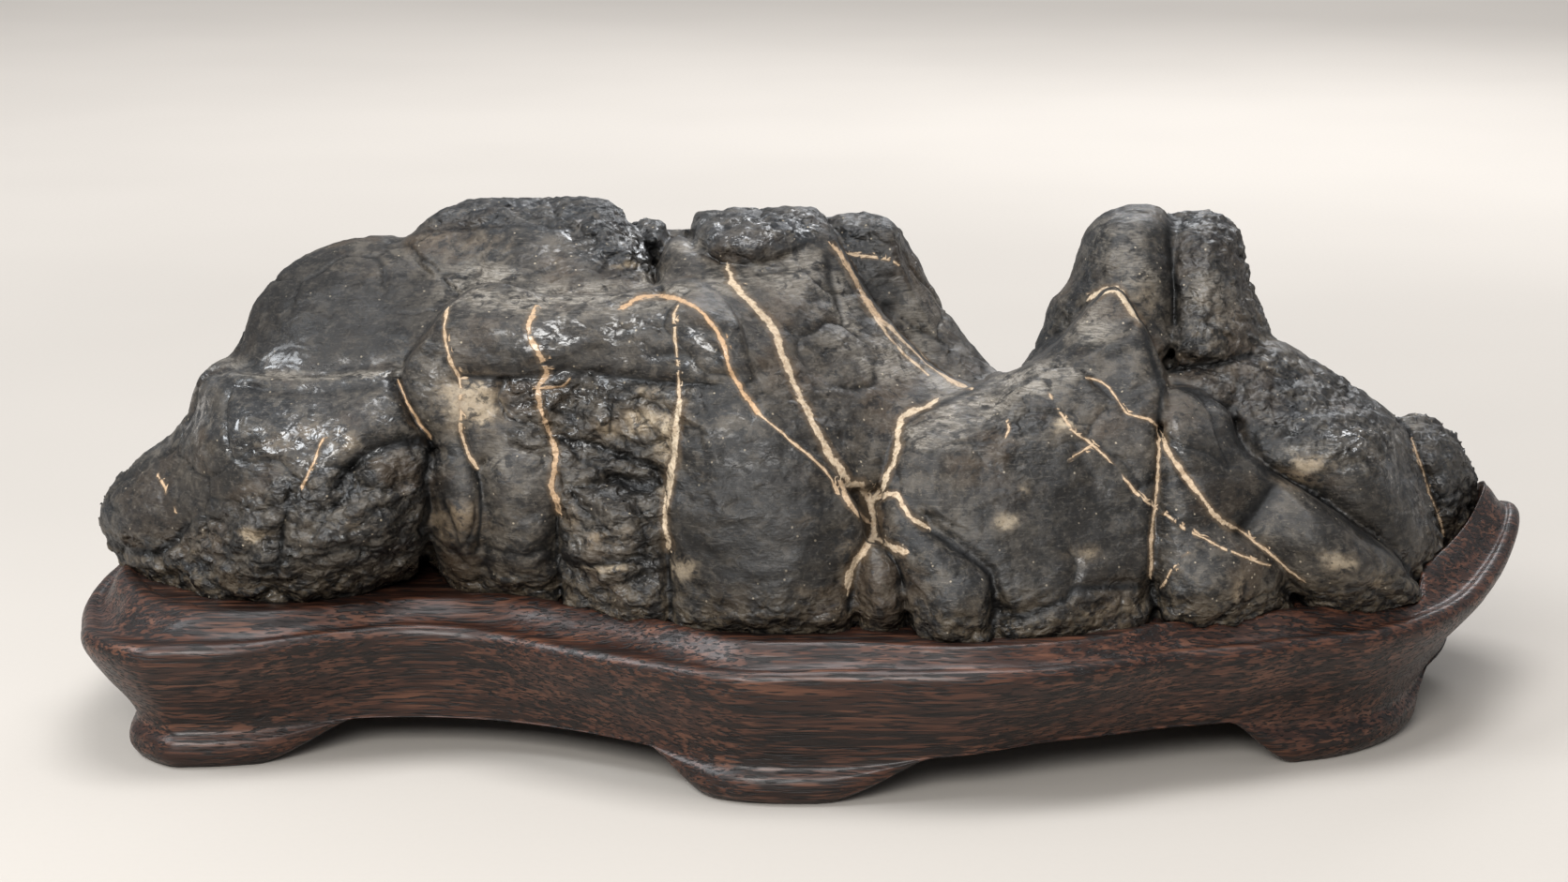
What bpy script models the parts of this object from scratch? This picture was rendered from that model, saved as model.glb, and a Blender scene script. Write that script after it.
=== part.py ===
"""A dark, water-worn scholar's rock with pale veins, resting in a carved hardwood stand.

Metres, +Z up, standing on z = 0 with the middle of its box over the origin. X runs along the stone and -Y is
its front. Shapes are worked out in millimetres and turned into metres when a mesh is made.
"""

import math

import bmesh
import bpy
import numpy as np
from mathutils import Matrix, Vector, noise

MM = 0.001

# The front of the stone is laid out on a picture of it. A picture point and a depth give a point in space.
PICTURE_CENTRE = (836.0, 470.5)
PICTURE_FOCAL = 3483.0
EYE_MM = (0.0, -747.0, 252.0)
SIGHT_TILT = math.radians(14)

STONE_COLOUR = (0.061, 0.054, 0.046)
STONE_ROUGHNESS = 0.42
WOOD_COLOUR = (0.048, 0.021, 0.015)
WOOD_ROUGHNESS = 0.34

STONE_FOOT_MM = 33.5
RELIEF_STEP_PX = 5
STONE_VOXEL_MM = 1.7
STONE_SWELL_MM = 0.5
STONE_TRIANGLES = 5900


def sight(px, py):
    """Directions of the sight lines through picture points."""
    across = (np.asarray(px, float) - PICTURE_CENTRE[0]) / PICTURE_FOCAL
    up = (PICTURE_CENTRE[1] - np.asarray(py, float)) / PICTURE_FOCAL
    cos, sin = math.cos(SIGHT_TILT), math.sin(SIGHT_TILT)
    return np.stack([across, cos + sin * up, cos * up - sin], -1)


def place(px, py, depth):
    """Points in millimetres on the sight lines through picture points, at the given Y."""
    ray = sight(px, py)
    reach = (np.asarray(depth, float) - EYE_MM[1]) / ray[..., 1]
    return np.array(EYE_MM) + ray * reach[..., None]


# Each lobe of the stone's front: picture points (right, down) with the depth in millimetres, first round its
# edge and then inside it, and how wide and how deep its edge rolls back.
LOBES = {
    "left_apron": (
        [(99, 553, -3), (106, 528, -3), (138, 493, -4), (182, 465, -6), (200, 442, -8), (207, 408, -10),
         (240, 398, -15), (290, 404, -20), (350, 405, -22), (400, 397, -23), (425, 388, -24),
         (440, 430, -28), (460, 465, -32), (463, 520, -34), (458, 570, -31), (442, 616, -22),
         (380, 645, -26), (300, 656, -29), (220, 652, -24), (156, 628, -14), (120, 598, -7)],
        [(200, 500, -18), (150, 545, -15), (180, 580, -20), (290, 418, -22), (270, 447, -29),
         (280, 500, -35), (270, 540, -38), (270, 600, -39), (380, 414, -25), (380, 447, -33),
         (400, 492, -38), (400, 565, -42), (340, 600, -42), (330, 480, -36), (230, 430, -17),
         (220, 470, -24)],
        (6, 3)),
    "left_dome": (
        [(207, 412, -8), (222, 392, -3), (250, 378, 0), (258, 350, 4), (272, 322, 7), (290, 296, 10),
         (315, 277, 13), (345, 263, 15), (375, 254, 16), (405, 251, 17), (430, 253, 17), (470, 268, 14),
         (500, 295, 4), (490, 335, -10), (455, 375, -18), (425, 412, -20), (350, 420, -17),
         (260, 415, -12)],
        [(300, 345, -3), (345, 305, 1), (350, 370, -12), (400, 290, 5), (420, 345, -8), (445, 285, 9),
         (280, 385, -9)],
        (5, 2)),
    "back_mound": (
        [(425, 257, 14), (446, 246, 14), (500, 243, 12), (560, 240, 10), (620, 243, 11), (680, 262, 9),
         (700, 292, 3), (690, 330, -14), (640, 336, -17), (580, 336, -16), (520, 325, -11),
         (470, 300, 1)],
        [(480, 272, 8), (530, 280, 1), (555, 252, 6), (600, 290, -5), (650, 290, -4), (500, 300, 0),
         (575, 265, 2)],
        (3, 1)),
    "back_cap": (
        [(436, 256, 15), (450, 236, 18), (475, 221, 21), (505, 213, 23), (540, 210, 24), (575, 216, 25),
         (600, 216, 25), (650, 225, 24), (668, 240, 18), (640, 256, 12), (560, 254, 11), (490, 260, 13)],
        [(530, 230, 15), (600, 232, 14), (480, 235, 16)],
        (3, 2)),
    "back_cap_end": (
        [(585, 220, 24), (600, 211, 25), (625, 209, 26), (650, 214, 25), (664, 226, 23), (676, 244, 19),
         (690, 262, 13), (696, 285, 7), (688, 306, 1), (655, 292, 0), (628, 276, 3), (612, 248, 10)],
        [(645, 248, 6), (665, 268, 1), (650, 275, 0), (635, 228, 16)],
        (4, 3)),
    "back_knob": (
        [(672, 250, 24), (680, 234, 27), (692, 231, 28), (706, 238, 27), (710, 252, 25), (704, 292, 18),
         (698, 312, 11), (690, 300, 10), (686, 270, 17)],
        [(692, 256, 15)],
        (4, 3)),
    "notch_floor": (
        [(700, 246, 38), (718, 241, 38), (742, 250, 38), (748, 300, 34), (715, 332, 30), (696, 328, 30)],
        [],
        (2, 1)),
    "spur": (
        [(697, 325, -15), (702, 288, -4), (710, 262, 3), (724, 253, 5), (745, 260, 2), (772, 284, -6),
         (795, 320, -20), (765, 350, -33), (710, 338, -26)],
        [(738, 290, -10), (725, 275, -4)],
        (4, 3)),
    "block_cap": (
        [(737, 252, 6), (738, 232, 10), (747, 224, 14), (800, 221, 16), (850, 221, 16), (872, 225, 14),
         (884, 240, 10), (882, 252, 4), (850, 264, -2), (820, 279, -7), (790, 285, -8), (765, 277, -5),
         (748, 264, 0)],
        [(800, 238, 2), (780, 262, -6), (840, 243, 2), (825, 262, -5), (760, 245, 2)],
        (3, 2.5)),
    "centre_fan": (
        [(762, 268, 4), (800, 256, 7), (850, 240, 8), (880, 238, 9), (897, 266, 6), (920, 310, 3),
         (945, 342, 0), (985, 385, -6), (1010, 402, -9), (1037, 414, -13), (1020, 428, -20),
         (985, 440, -26), (962, 455, -31), (948, 485, -38), (935, 522, -45), (905, 522, -49),
         (870, 488, -49), (820, 445, -47), (780, 415, -43), (752, 365, -38), (742, 325, -30)],
        [(850, 300, -9), (820, 345, -25), (880, 400, -28), (930, 385, -17), (965, 418, -19),
         (900, 450, -37), (930, 470, -35), (870, 340, -17), (800, 390, -39), (800, 290, -8)],
        (3, 1.2)),
    "back_peak": (
        [(876, 244, 33), (892, 231, 33), (925, 226, 33), (950, 233, 30), (966, 255, 28), (985, 290, 26),
         (1005, 325, 24), (1030, 360, 20), (1050, 384, 17), (1070, 402, 14), (1040, 425, 8),
         (990, 408, 14), (940, 355, 20), (900, 290, 26)],
        [(950, 250, 28), (957, 275, 27), (975, 320, 25), (1000, 360, 22), (1030, 395, 17), (925, 265, 29),
         (945, 300, 26)],
        (4, 3)),
    "front_lobe": (
        [(712, 672, -50), (716, 600, -51), (710, 540, -50), (712, 490, -46), (720, 430, -43),
         (770, 405, -42), (812, 440, -47), (870, 486, -50.5), (905, 521, -52), (919, 560, -54),
         (924, 600, -55), (914, 640, -56), (900, 700, -57), (820, 706, -58), (750, 694, -54)],
        [(800, 500, -52), (800, 590, -58), (860, 610, -59.5), (860, 545, -56), (750, 560, -54.5),
         (830, 645, -61), (770, 640, -58), (880, 520, -52.5), (760, 450, -46), (815, 465, -49.5)],
        (4, 2.5)),
    "core": (
        [(430, 400, -12), (700, 380, -18), (800, 420, -32), (880, 480, -38), (935, 500, -36),
         (960, 450, -20), (1060, 405, -4), (1230, 380, 0), (1330, 395, 2), (1460, 450, 6),
         (1500, 520, 2), (1530, 600, -2), (1500, 640, -14), (1390, 668, -26), (1240, 684, -38),
         (1060, 705, -50), (900, 705, -46), (740, 690, -38), (600, 655, -20), (440, 625, -12)],
        [(700, 540, -36), (930, 600, -44), (1240, 550, -34), (600, 540, -26), (500, 520, -22)],
        (2, 1)),
    "front_wall": (
        [(425, 398, -27), (450, 366, -26), (475, 330, -26), (505, 306, -26), (540, 302, -26),
         (570, 314, -27), (610, 318, -27), (660, 316, -28), (700, 306, -30), (735, 296, -33),
         (770, 315, -35), (790, 350, -38), (812, 440, -46), (770, 452, -45), (722, 510, -44),
         (650, 510, -39), (600, 505, -37), (520, 490, -33), (460, 480, -32), (440, 430, -30)],
        [(500, 342, -27), (560, 343, -28), (633, 334, -29), (722, 328, -34), (560, 372, -30.5),
         (640, 370, -31), (700, 370, -35), (560, 402, -30), (640, 402, -31), (700, 402, -36),
         (480, 400, -29), (510, 450, -31), (745, 400, -40), (620, 450, -33), (680, 460, -38)],
        (3, 1.2)),
    "pillar_left": (
        [(461, 478, -30), (500, 470, -32), (520, 505, -34), (520, 590, -33), (510, 628, -28),
         (470, 622, -22), (458, 565, -28)],
        [(488, 530, -37), (490, 580, -36)],
        (3, 2)),
    "pillar_mid": (
        [(510, 495, -33), (560, 474, -33), (592, 490, -35), (600, 540, -37), (600, 600, -36),
         (598, 658, -31), (560, 652, -28), (512, 628, -28), (508, 560, -33)],
        [(550, 530, -39), (560, 590, -40), (535, 500, -37)],
        (4, 2.5)),
    "pillar_right": (
        [(590, 490, -35), (640, 480, -36), (704, 496, -42), (712, 550, -46), (716, 610, -48),
         (714, 686, -47), (650, 674, -41), (598, 656, -34)],
        [(650, 540, -45), (655, 600, -49), (618, 580, -42), (690, 640, -50)],
        (3, 2)),
    "low_ledge": (
        [(470, 596, -24), (520, 590, -28), (590, 600, -32), (600, 656, -32), (560, 654, -28),
         (480, 638, -19)],
        [(530, 615, -30)],
        (3, 2)),
    "toe_small": (
        [(906, 612, -50), (914, 592, -53), (930, 577, -53), (950, 594, -55), (963, 630, -56),
         (962, 680, -54), (915, 684, -50)],
        [(934, 618, -59), (940, 650, -59)],
        (3, 2)),
    "toe_large": (
        [(930, 545, -46), (944, 528, -46), (962, 530, -49), (985, 556, -53), (1030, 588, -57),
         (1055, 606, -59), (1062, 650, -63), (1060, 708, -61), (1020, 712, -62), (985, 700, -58),
         (966, 640, -57), (950, 592, -54)],
        [(985, 595, -59), (1025, 640, -65), (955, 560, -52), (1000, 670, -64)],
        (4, 2)),
    "right_slab": (
        [(936, 528, -45), (945, 490, -41), (956, 455, -38), (1000, 430, -36), (1040, 411, -33),
         (1070, 401, -30), (1110, 394, -27), (1143, 386, -25), (1165, 400, -28), (1200, 425, -32),
         (1238, 450, -36), (1241, 520, -43), (1236, 600, -48), (1234, 682, -50), (1180, 696, -54),
         (1110, 706, -58), (1056, 710, -60), (1050, 604, -57), (1000, 570, -53), (960, 532, -48)],
        [(985, 480, -44), (1010, 472, -43), (1050, 457, -40), (1075, 440, -36.5), (1085, 420, -33),
         (1110, 402, -28.5), (1030, 520, -48), (1110, 520, -47), (1110, 605, -55), (1180, 480, -40),
         (1180, 560, -47), (1190, 630, -53), (1060, 565, -53), (1110, 450, -38.5), (1120, 655, -60)],
        (4, 2)),
    "pyramid": (
        [(1060, 402, -27), (1098, 388, -25), (1125, 376, -23), (1160, 355, -20), (1195, 335, -18),
         (1212, 338, -18), (1228, 365, -22), (1240, 395, -26), (1246, 420, -31), (1240, 458, -37),
         (1200, 452, -37), (1160, 424, -32), (1110, 408, -30)],
        [(1200, 365, -21), (1170, 374, -23), (1143, 390, -26), (1190, 400, -27), (1215, 410, -29)],
        (3, 1.2)),
    "pyramid_top": (
        [(1046, 404, -10), (1098, 391, -13), (1125, 371, -14), (1150, 344, -13), (1178, 311, -11),
         (1193, 309, -11), (1214, 340, -15), (1206, 353, -18), (1170, 368, -19), (1140, 380, -20),
         (1110, 396, -20), (1070, 408, -16)],
        [(1185, 345, -15.5), (1160, 358, -16.5)],
        (3, 1.2)),
    "right_peak": (
        [(1090, 394, 4), (1108, 362, 9), (1116, 342, 11), (1119, 322, 12), (1140, 300, 14),
         (1148, 270, 16), (1155, 245, 18), (1175, 225, 20), (1205, 215, 21), (1235, 218, 21),
         (1252, 232, 19), (1258, 280, 11), (1256, 340, 2), (1242, 390, -10), (1200, 385, -8),
         (1150, 392, -4)],
        [(1200, 250, 7), (1205, 310, -2), (1165, 320, 3), (1225, 290, 1), (1232, 350, -5),
         (1180, 240, 11)],
        (4, 3)),
    "right_peak_horn": (
        [(1250, 240, 22), (1262, 228, 24), (1290, 222, 25), (1310, 230, 24), (1325, 250, 22),
         (1332, 280, 20), (1341, 320, 16), (1357, 358, 9), (1345, 388, -3), (1300, 397, -10),
         (1256, 402, -12), (1248, 340, 0), (1250, 280, 10)],
        [(1290, 262, 10), (1288, 320, 0), (1322, 340, 4), (1285, 372, -9), (1310, 290, 9)],
        (4, 3)),
    "right_saddle": (
        [(1245, 392, -9), (1300, 384, -7), (1345, 372, 0), (1360, 360, 8), (1400, 386, 8), (1440, 409, 6),
         (1468, 428, 4), (1492, 450, 0), (1480, 472, -10), (1420, 458, -17), (1350, 456, -19),
         (1310, 444, -20), (1270, 428, -18), (1250, 415, -17)],
        [(1320, 410, -12), (1400, 420, -9), (1280, 405, -12)],
        (3, 2)),
    "right_swirl": (
        [(1320, 476, -22), (1325, 444, -18), (1400, 436, -15), (1470, 438, -5), (1495, 455, 2),
         (1512, 500, 2), (1532, 550, 0), (1547, 612, -4), (1532, 640, -14), (1500, 606, -25),
         (1460, 575, -29), (1410, 536, -29), (1360, 510, -28), (1335, 494, -25)],
        [(1395, 478, -27), (1455, 466, -21), (1475, 505, -24), (1500, 540, -20), (1520, 585, -17),
         (1350, 470, -24), (1420, 510, -29)],
        (4, 3)),
    "right_flow": (
        [(1244, 412, -26), (1270, 414, -24), (1300, 430, -23), (1314, 446, -25), (1322, 478, -30),
         (1360, 508, -33), (1410, 536, -36), (1460, 572, -37), (1500, 602, -35), (1524, 650, -29),
         (1480, 664, -31), (1430, 670, -34), (1390, 650, -38), (1360, 596, -41), (1300, 566, -45),
         (1262, 512, -43), (1238, 458, -38)],
        [(1280, 465, -36), (1300, 510, -41), (1340, 545, -39), (1400, 570, -44), (1450, 612, -45)],
        (4, 3)),
    "right_toe": (
        [(1236, 458, -37), (1262, 508, -43), (1300, 562, -46), (1365, 598, -43), (1388, 672, -37),
         (1340, 682, -42), (1280, 690, -47), (1238, 692, -48), (1234, 600, -48), (1235, 520, -43)],
        [(1275, 590, -49), (1310, 630, -53), (1262, 545, -46), (1265, 640, -53)],
        (4, 2.5)),
    "far_lobe": (
        [(1480, 450, 20), (1495, 442, 23), (1520, 440, 26), (1545, 453, 27), (1565, 478, 27),
         (1578, 510, 26), (1576, 545, 22), (1560, 600, 14), (1530, 625, 8), (1500, 520, 10)],
        [(1530, 490, 12), (1545, 540, 10)],
        (5, 4)),
}

# Flat or softly bent sheets that cut a lobe back, so that it meets them in a sharp edge: the lobe, and
# picture points with the depth in millimetres.
FACETS = {
    "shelf_top": ("front_wall", [
        (475, 345, -26), (520, 343, -27), (560, 343, -28), (600, 338, -28.5), (633, 334, -29),
        (690, 332, -31), (722, 328, -34), (755, 340, -37), (488, 312, -14), (510, 303, -12),
        (530, 301, -12), (570, 316, -18), (610, 319, -19), (660, 317, -19), (700, 308, -18),
        (735, 296, -16), (775, 312, -22), (600, 370, -52), (700, 370, -54), (500, 370, -44),
        (440, 380, -34), (790, 350, -38)]),
    "peak_side": ("back_peak", [
        (950, 235, 30), (957, 275, 27), (975, 320, 25), (1000, 360, 22), (1030, 395, 17), (966, 255, 36),
        (985, 290, 35), (1005, 325, 33), (1030, 360, 29), (1050, 384, 24), (1070, 402, 19), (920, 265, 8),
        (940, 330, 5)]),
    "lobe_foot": ("front_lobe", [
        (715, 655, -53), (770, 655, -59), (830, 658, -61), (880, 655, -60), (914, 645, -57),
        (750, 694, -49), (820, 706, -50), (900, 700, -50), (800, 600, -82)]),
    "slab_light": ("right_slab", [
        (942, 500, -43), (962, 488, -43.5), (985, 480, -44), (1010, 472, -43), (1050, 457, -40),
        (1075, 440, -36.5), (1085, 420, -33), (1110, 402, -28.5), (1143, 388, -25.5), (956, 455, -32),
        (1000, 430, -25), (1040, 411, -18), (1070, 401, -14), (1100, 393, -15), (1125, 384, -18),
        (1050, 510, -64), (1110, 450, -56), (1170, 440, -52), (1200, 400, -40)]),
    "pyramid_ledge": ("pyramid", [
        (1212, 346, -19), (1200, 365, -21.5), (1170, 374, -23), (1143, 390, -26), (1110, 402, -28.5),
        (1206, 344, -15), (1180, 358, -17), (1150, 371, -18), (1120, 384, -19), (1090, 393, -17),
        (1060, 402, -14), (1190, 400, -42), (1230, 365, -30)]),
}

# The stone's whole outline in the picture. Where no lobe covers it, a filling lies behind the front.
OUTLINE = [
    (132, 592), (116, 568), (111, 553), (116, 535), (136, 508), (164, 486), (184, 468), (200, 435),
    (207, 412), (217, 394), (247, 378), (259, 354), (270, 330), (292, 301), (314, 282), (345, 268),
    (400, 257), (430, 257), (455, 237), (477, 222), (505, 214), (550, 211), (600, 212), (630, 211),
    (650, 216), (670, 236), (690, 233), (705, 235), (713, 246), (738, 243), (741, 227), (780, 222),
    (865, 222), (882, 232), (900, 228), (940, 228), (962, 246), (975, 270), (1003, 322), (1035, 367),
    (1063, 397), (1085, 394), (1102, 377), (1118, 335), (1137, 303), (1147, 287), (1155, 250),
    (1180, 223), (1215, 215), (1250, 226), (1290, 222), (1322, 250), (1335, 300), (1353, 353),
    (1383, 385), (1440, 408), (1482, 442), (1530, 445), (1562, 475), (1576, 508), (1574, 540),
    (1557, 575), (1530, 650), (1390, 675), (1240, 695), (1060, 712), (900, 705), (740, 694), (600, 660),
    (440, 625), (380, 645), (220, 652), (150, 625),
]
FILLING_MM = 16.0

# The sheet that closes the stone behind: picture points with the depth in millimetres.
BACK_SHEET = [
    (104, 552, 0), (140, 500, 4), (200, 440, 6), (258, 350, 14), (345, 263, 30), (450, 236, 40),
    (560, 210, 46), (650, 217, 46), (700, 232, 44), (745, 224, 36), (810, 221, 38), (875, 228, 46),
    (925, 226, 52), (966, 255, 53), (1005, 325, 50), (1070, 398, 38), (1119, 322, 32), (1150, 260, 38),
    (1205, 215, 42), (1290, 222, 44), (1335, 290, 38), (1363, 370, 32), (1440, 408, 28),
    (1492, 445, 34), (1540, 450, 40), (1576, 510, 38), (1556, 590, 28), (160, 560, 18), (200, 520, 26),
    (300, 450, 38), (300, 560, 41), (450, 400, 51), (450, 560, 54), (600, 350, 55), (600, 500, 58),
    (800, 350, 52), (800, 500, 61), (950, 400, 61), (1000, 500, 60), (1080, 470, 46), (1080, 560, 54),
    (1200, 350, 49), (1200, 500, 58), (1300, 400, 49), (1350, 500, 54), (1450, 520, 43),
    (1150, 620, 59), (850, 640, 62), (550, 620, 57), (300, 620, 40), (1450, 620, 42), (700, 430, 54),
    (520, 300, 52),
]
BACK_ROLL_MM = 15.0


def thin_plate(points, heights, at):
    """A smooth sheet through the given heights, read at other points."""
    def bend(a, b):
        gap = ((a[:, None] - b[None]) ** 2).sum(-1)
        return gap * np.log(gap + 1e-12)

    size = len(points)
    system = np.zeros((size + 3, size + 3))
    system[:size, :size] = bend(points, points)
    system[:size, size:] = np.c_[np.ones(size), points]
    system[size:, :size] = system[:size, size:].T
    weights = np.linalg.solve(system, np.r_[heights, 0, 0, 0])
    return bend(at, points) @ weights[:size] + np.c_[np.ones(len(at)), at] @ weights[size:]


def inside_distance(outline, at):
    """How far points lie inside a closed outline, negative outside it."""
    starts, ends = outline, np.roll(outline, -1, axis=0)
    nearest = np.full(len(at), np.inf)
    inside = np.zeros(len(at), bool)
    for a, b in zip(starts, ends):
        along = np.clip(((at - a) @ (b - a)) / ((b - a) @ (b - a)), 0, 1)
        nearest = np.minimum(nearest, np.linalg.norm(at - a - along[:, None] * (b - a), axis=1))
        if a[1] != b[1]:
            crosses = (a[1] > at[:, 1]) != (b[1] > at[:, 1])
            inside ^= crosses & (at[:, 0] < a[0] + (at[:, 1] - a[1]) / (b[1] - a[1]) * (b[0] - a[0]))
    return np.where(inside, nearest, -nearest)


def smooth_outline(points, rounds=2):
    """Cuts the corners of a closed outline."""
    for _ in range(rounds):
        after = np.roll(points, -1, axis=0)
        corners = [0.75 * points + 0.25 * after, 0.25 * points + 0.75 * after]
        points = np.stack(corners, 1).reshape(-1, points.shape[1])
    return points


# Millimetres to a picture point at the stone, and the part of the picture that it covers.
PX_MM = 0.2211
GRID_PX = (90, 1600, 200, 715)


def relief(at):
    """The depth of the stone's front at picture points, infinite where it has none."""
    depth = np.full(len(at), np.inf)
    for name, (edge, inner, (width, drop)) in LOBES.items():
        pegs = np.array(edge + inner, float)
        outline = smooth_outline(np.array(edge, float)[:, :2])
        low, high = outline.min(0), outline.max(0)
        near = np.flatnonzero(((at > low) & (at < high)).all(1))
        inset = inside_distance(outline, at[near]) * PX_MM
        near, inset = near[inset > 0], inset[inset > 0]
        sheet = thin_plate(pegs[:, :2] / 100, pegs[:, 2], at[near] / 100)
        for lobe, cut in FACETS.values():
            if lobe == name:
                cut = np.array(cut, float)
                sheet = np.maximum(sheet, thin_plate(cut[:, :2] / 100, cut[:, 2], at[near] / 100))
        lean = 1 - np.clip(inset / width, 0, 1)
        sheet += drop * (1 - np.sqrt(1 - lean**2 * 0.999))
        depth[near] = np.minimum(depth[near], sheet)
    return depth


def picture_grid(step):
    xs = np.arange(GRID_PX[0], GRID_PX[1], step)
    ys = np.arange(GRID_PX[2], GRID_PX[3], step)
    return np.stack(np.meshgrid(xs, ys), -1).astype(float)


# How far the silhouette rolls back, and between which places across the picture the stone stands on its
# foot.
SILHOUETTE_ROLL_MM = 7.0
FOOT_PX = (150, 1535)

# Cracks and sharp folds in the stone's front: picture points, then how wide and how deep each runs. A
# negative depth stands proud.
STROKES = {
    "left_block_crack": ([(423, 408), (440, 447), (460, 468), (453, 505), (458, 545),
                          (448, 565)], 1.2, 4.0),
    "arch_underside": ([(457, 470), (430, 472), (405, 479), (385, 489), (368, 505),
                        (360, 520)], 2.0, 4.2),
    "toe_crack": ([(308, 517), (310, 530), (302, 557), (300, 580), (295, 612)], 1.1, 3.0),
    "toe_ledge": ([(118, 578), (140, 588), (167, 590), (187, 577), (200, 560)], 1.6, 2.8),
    "bowl_rim": ([(235, 392), (283, 403), (345, 405), (395, 398), (425, 388)], 1.4, -1.6),
    "under_rim": ([(255, 412), (300, 418), (345, 419), (395, 412), (420, 402)], 2.4, 1.3),
    "wall_crack": ([(490, 402), (540, 404), (575, 403), (600, 396), (650, 401), (700, 408),
                    (763, 413)], 1.2, 2.4),
    "pit_ledge": ([(587, 467), (633, 475), (660, 485), (700, 500)], 1.4, 3.0),
    "recess": ([(655, 510), (680, 520), (704, 514)], 2.4, 4.5),
    "pillar_waist": ([(600, 595), (630, 603), (660, 600), (693, 593)], 1.2, 2.2),
    "fan_left": ([(740, 322), (763, 352), (775, 382), (793, 422), (830, 458), (873, 493)], 1.3, -1.0),
    "fan_right": ([(890, 262), (905, 285), (923, 322), (955, 355), (985, 383), (1030, 412)], 1.2, 1.6),
    "dark_strip": ([(882, 275), (884, 300), (895, 330)], 1.6, 1.8),
    "valley": ([(935, 524), (948, 490), (958, 458), (985, 438), (1020, 425), (1050, 408)], 1.2, 2.0),
    "pyramid_crease": ([(1220, 350), (1226, 376), (1239, 413), (1235, 453)], 1.2, 2.4),
    "pyramid_foot": ([(1165, 405), (1185, 415), (1200, 440), (1222, 446)], 1.0, 1.6),
    "peak_split": ([(1248, 226), (1245, 262), (1252, 300), (1253, 345)], 1.3, 4.0),
    "wet_crevice": ([(1245, 395), (1280, 390), (1307, 387), (1334, 378)], 1.3, 3.6),
    "swirl_pocket": ([(1255, 410), (1290, 427), (1317, 437), (1314, 458), (1328, 484)], 1.5, 4.4),
    "flow_crack": ([(1343, 498), (1390, 520), (1420, 542), (1457, 572), (1490, 595),
                    (1512, 622)], 1.2, 3.6),
    "flow_trough": ([(1356, 522), (1340, 545), (1322, 566)], 3.0, 2.4),
    "slab_ledge": ([(1063, 655), (1090, 658), (1113, 650), (1137, 640), (1145, 628),
                    (1215, 625)], 1.3, 2.4),
    "vertical_cleft": ([(1235, 458), (1235, 500), (1229, 567), (1228, 628), (1232, 660)], 1.1, 2.6),
    "toe_split": ([(987, 563), (1030, 593), (1056, 612), (1062, 650), (1058, 680)], 1.1, 3.4),
    "junction": ([(900, 518), (923, 523), (932, 560), (912, 600), (905, 650)], 1.4, 3.0),
}

# Wrinkled parts of the stone: outline in the picture, how far they rise and how large their knobs are.
KNOBBLY = {
    "left_cap": ([(440, 262), (446, 238), (500, 208), (600, 205), (670, 215), (715, 240), (700, 310),
                  (640, 290), (600, 246), (520, 242)], 1.5, 3.6),
    "block_cap": ([(734, 222), (880, 216), (888, 245), (870, 250), (790, 284), (760, 275), (736, 240)],
                  1.1, 3.4),
    "horn": ([(1250, 220), (1330, 220), (1362, 370), (1440, 400), (1490, 450), (1480, 520), (1400, 480),
              (1300, 432), (1250, 390)], 1.3, 4.2),
    "far_lobe": ([(1480, 430), (1590, 430), (1590, 600), (1520, 600)], 1.2, 4.0),
}

# Broken faces of the stone, stepped in slanting ledges: outline in the picture, rise and ledge height.
BROKEN = {
    "left_face": ([(110, 560), (180, 565), (290, 512), (345, 505), (380, 488), (462, 470), (450, 640),
                   (200, 650)], 3.0, 8.0),
    "middle_face": ([(540, 402), (760, 410), (712, 500), (712, 680), (592, 665), (592, 500), (545, 470)],
                    2.2, 6.5),
}
LEDGE_SLANT = math.radians(24)


def ledges(place_mm, size):
    """How proud slanting, broken ledges of a given height stand at a place, about none to one."""
    cos, sin = math.cos(LEDGE_SLANT), math.sin(LEDGE_SLANT)
    x, depth, z = place_mm
    along, up = (x * cos + z * sin) / (2.4 * size), (z * cos - x * sin) / size
    level = 2.6 * (noise.noise(Vector((along, depth / 12, up))) + 0.5)
    level += 1.1 * noise.noise(Vector((2.3 * along, depth / 5 + 9, 2.3 * up)))
    step = math.floor(level)
    rise = min(1.0, 3.2 * (level - step))
    return (step + rise * rise * (3 - 2 * rise)) / 2.6


def line_distance(line, at):
    """How far points lie from an open line."""
    nearest = np.full(len(at), np.inf)
    for a, b in zip(line[:-1], line[1:]):
        along = np.clip(((at - a) @ (b - a)) / ((b - a) @ (b - a)), 0, 1)
        nearest = np.minimum(nearest, np.linalg.norm(at - a - along[:, None] * (b - a), axis=1))
    return nearest


def add_strokes(depth, at):
    """Presses the cracks and draws out the folds."""
    for line, width, drop in STROKES.values():
        line = np.array(line, float)
        near = np.flatnonzero(((at > line.min(0) - 40) & (at < line.max(0) + 40)).all(1))
        away = line_distance(line, at[near]) * PX_MM
        depth[near] += drop * np.exp(-away / width)


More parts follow.
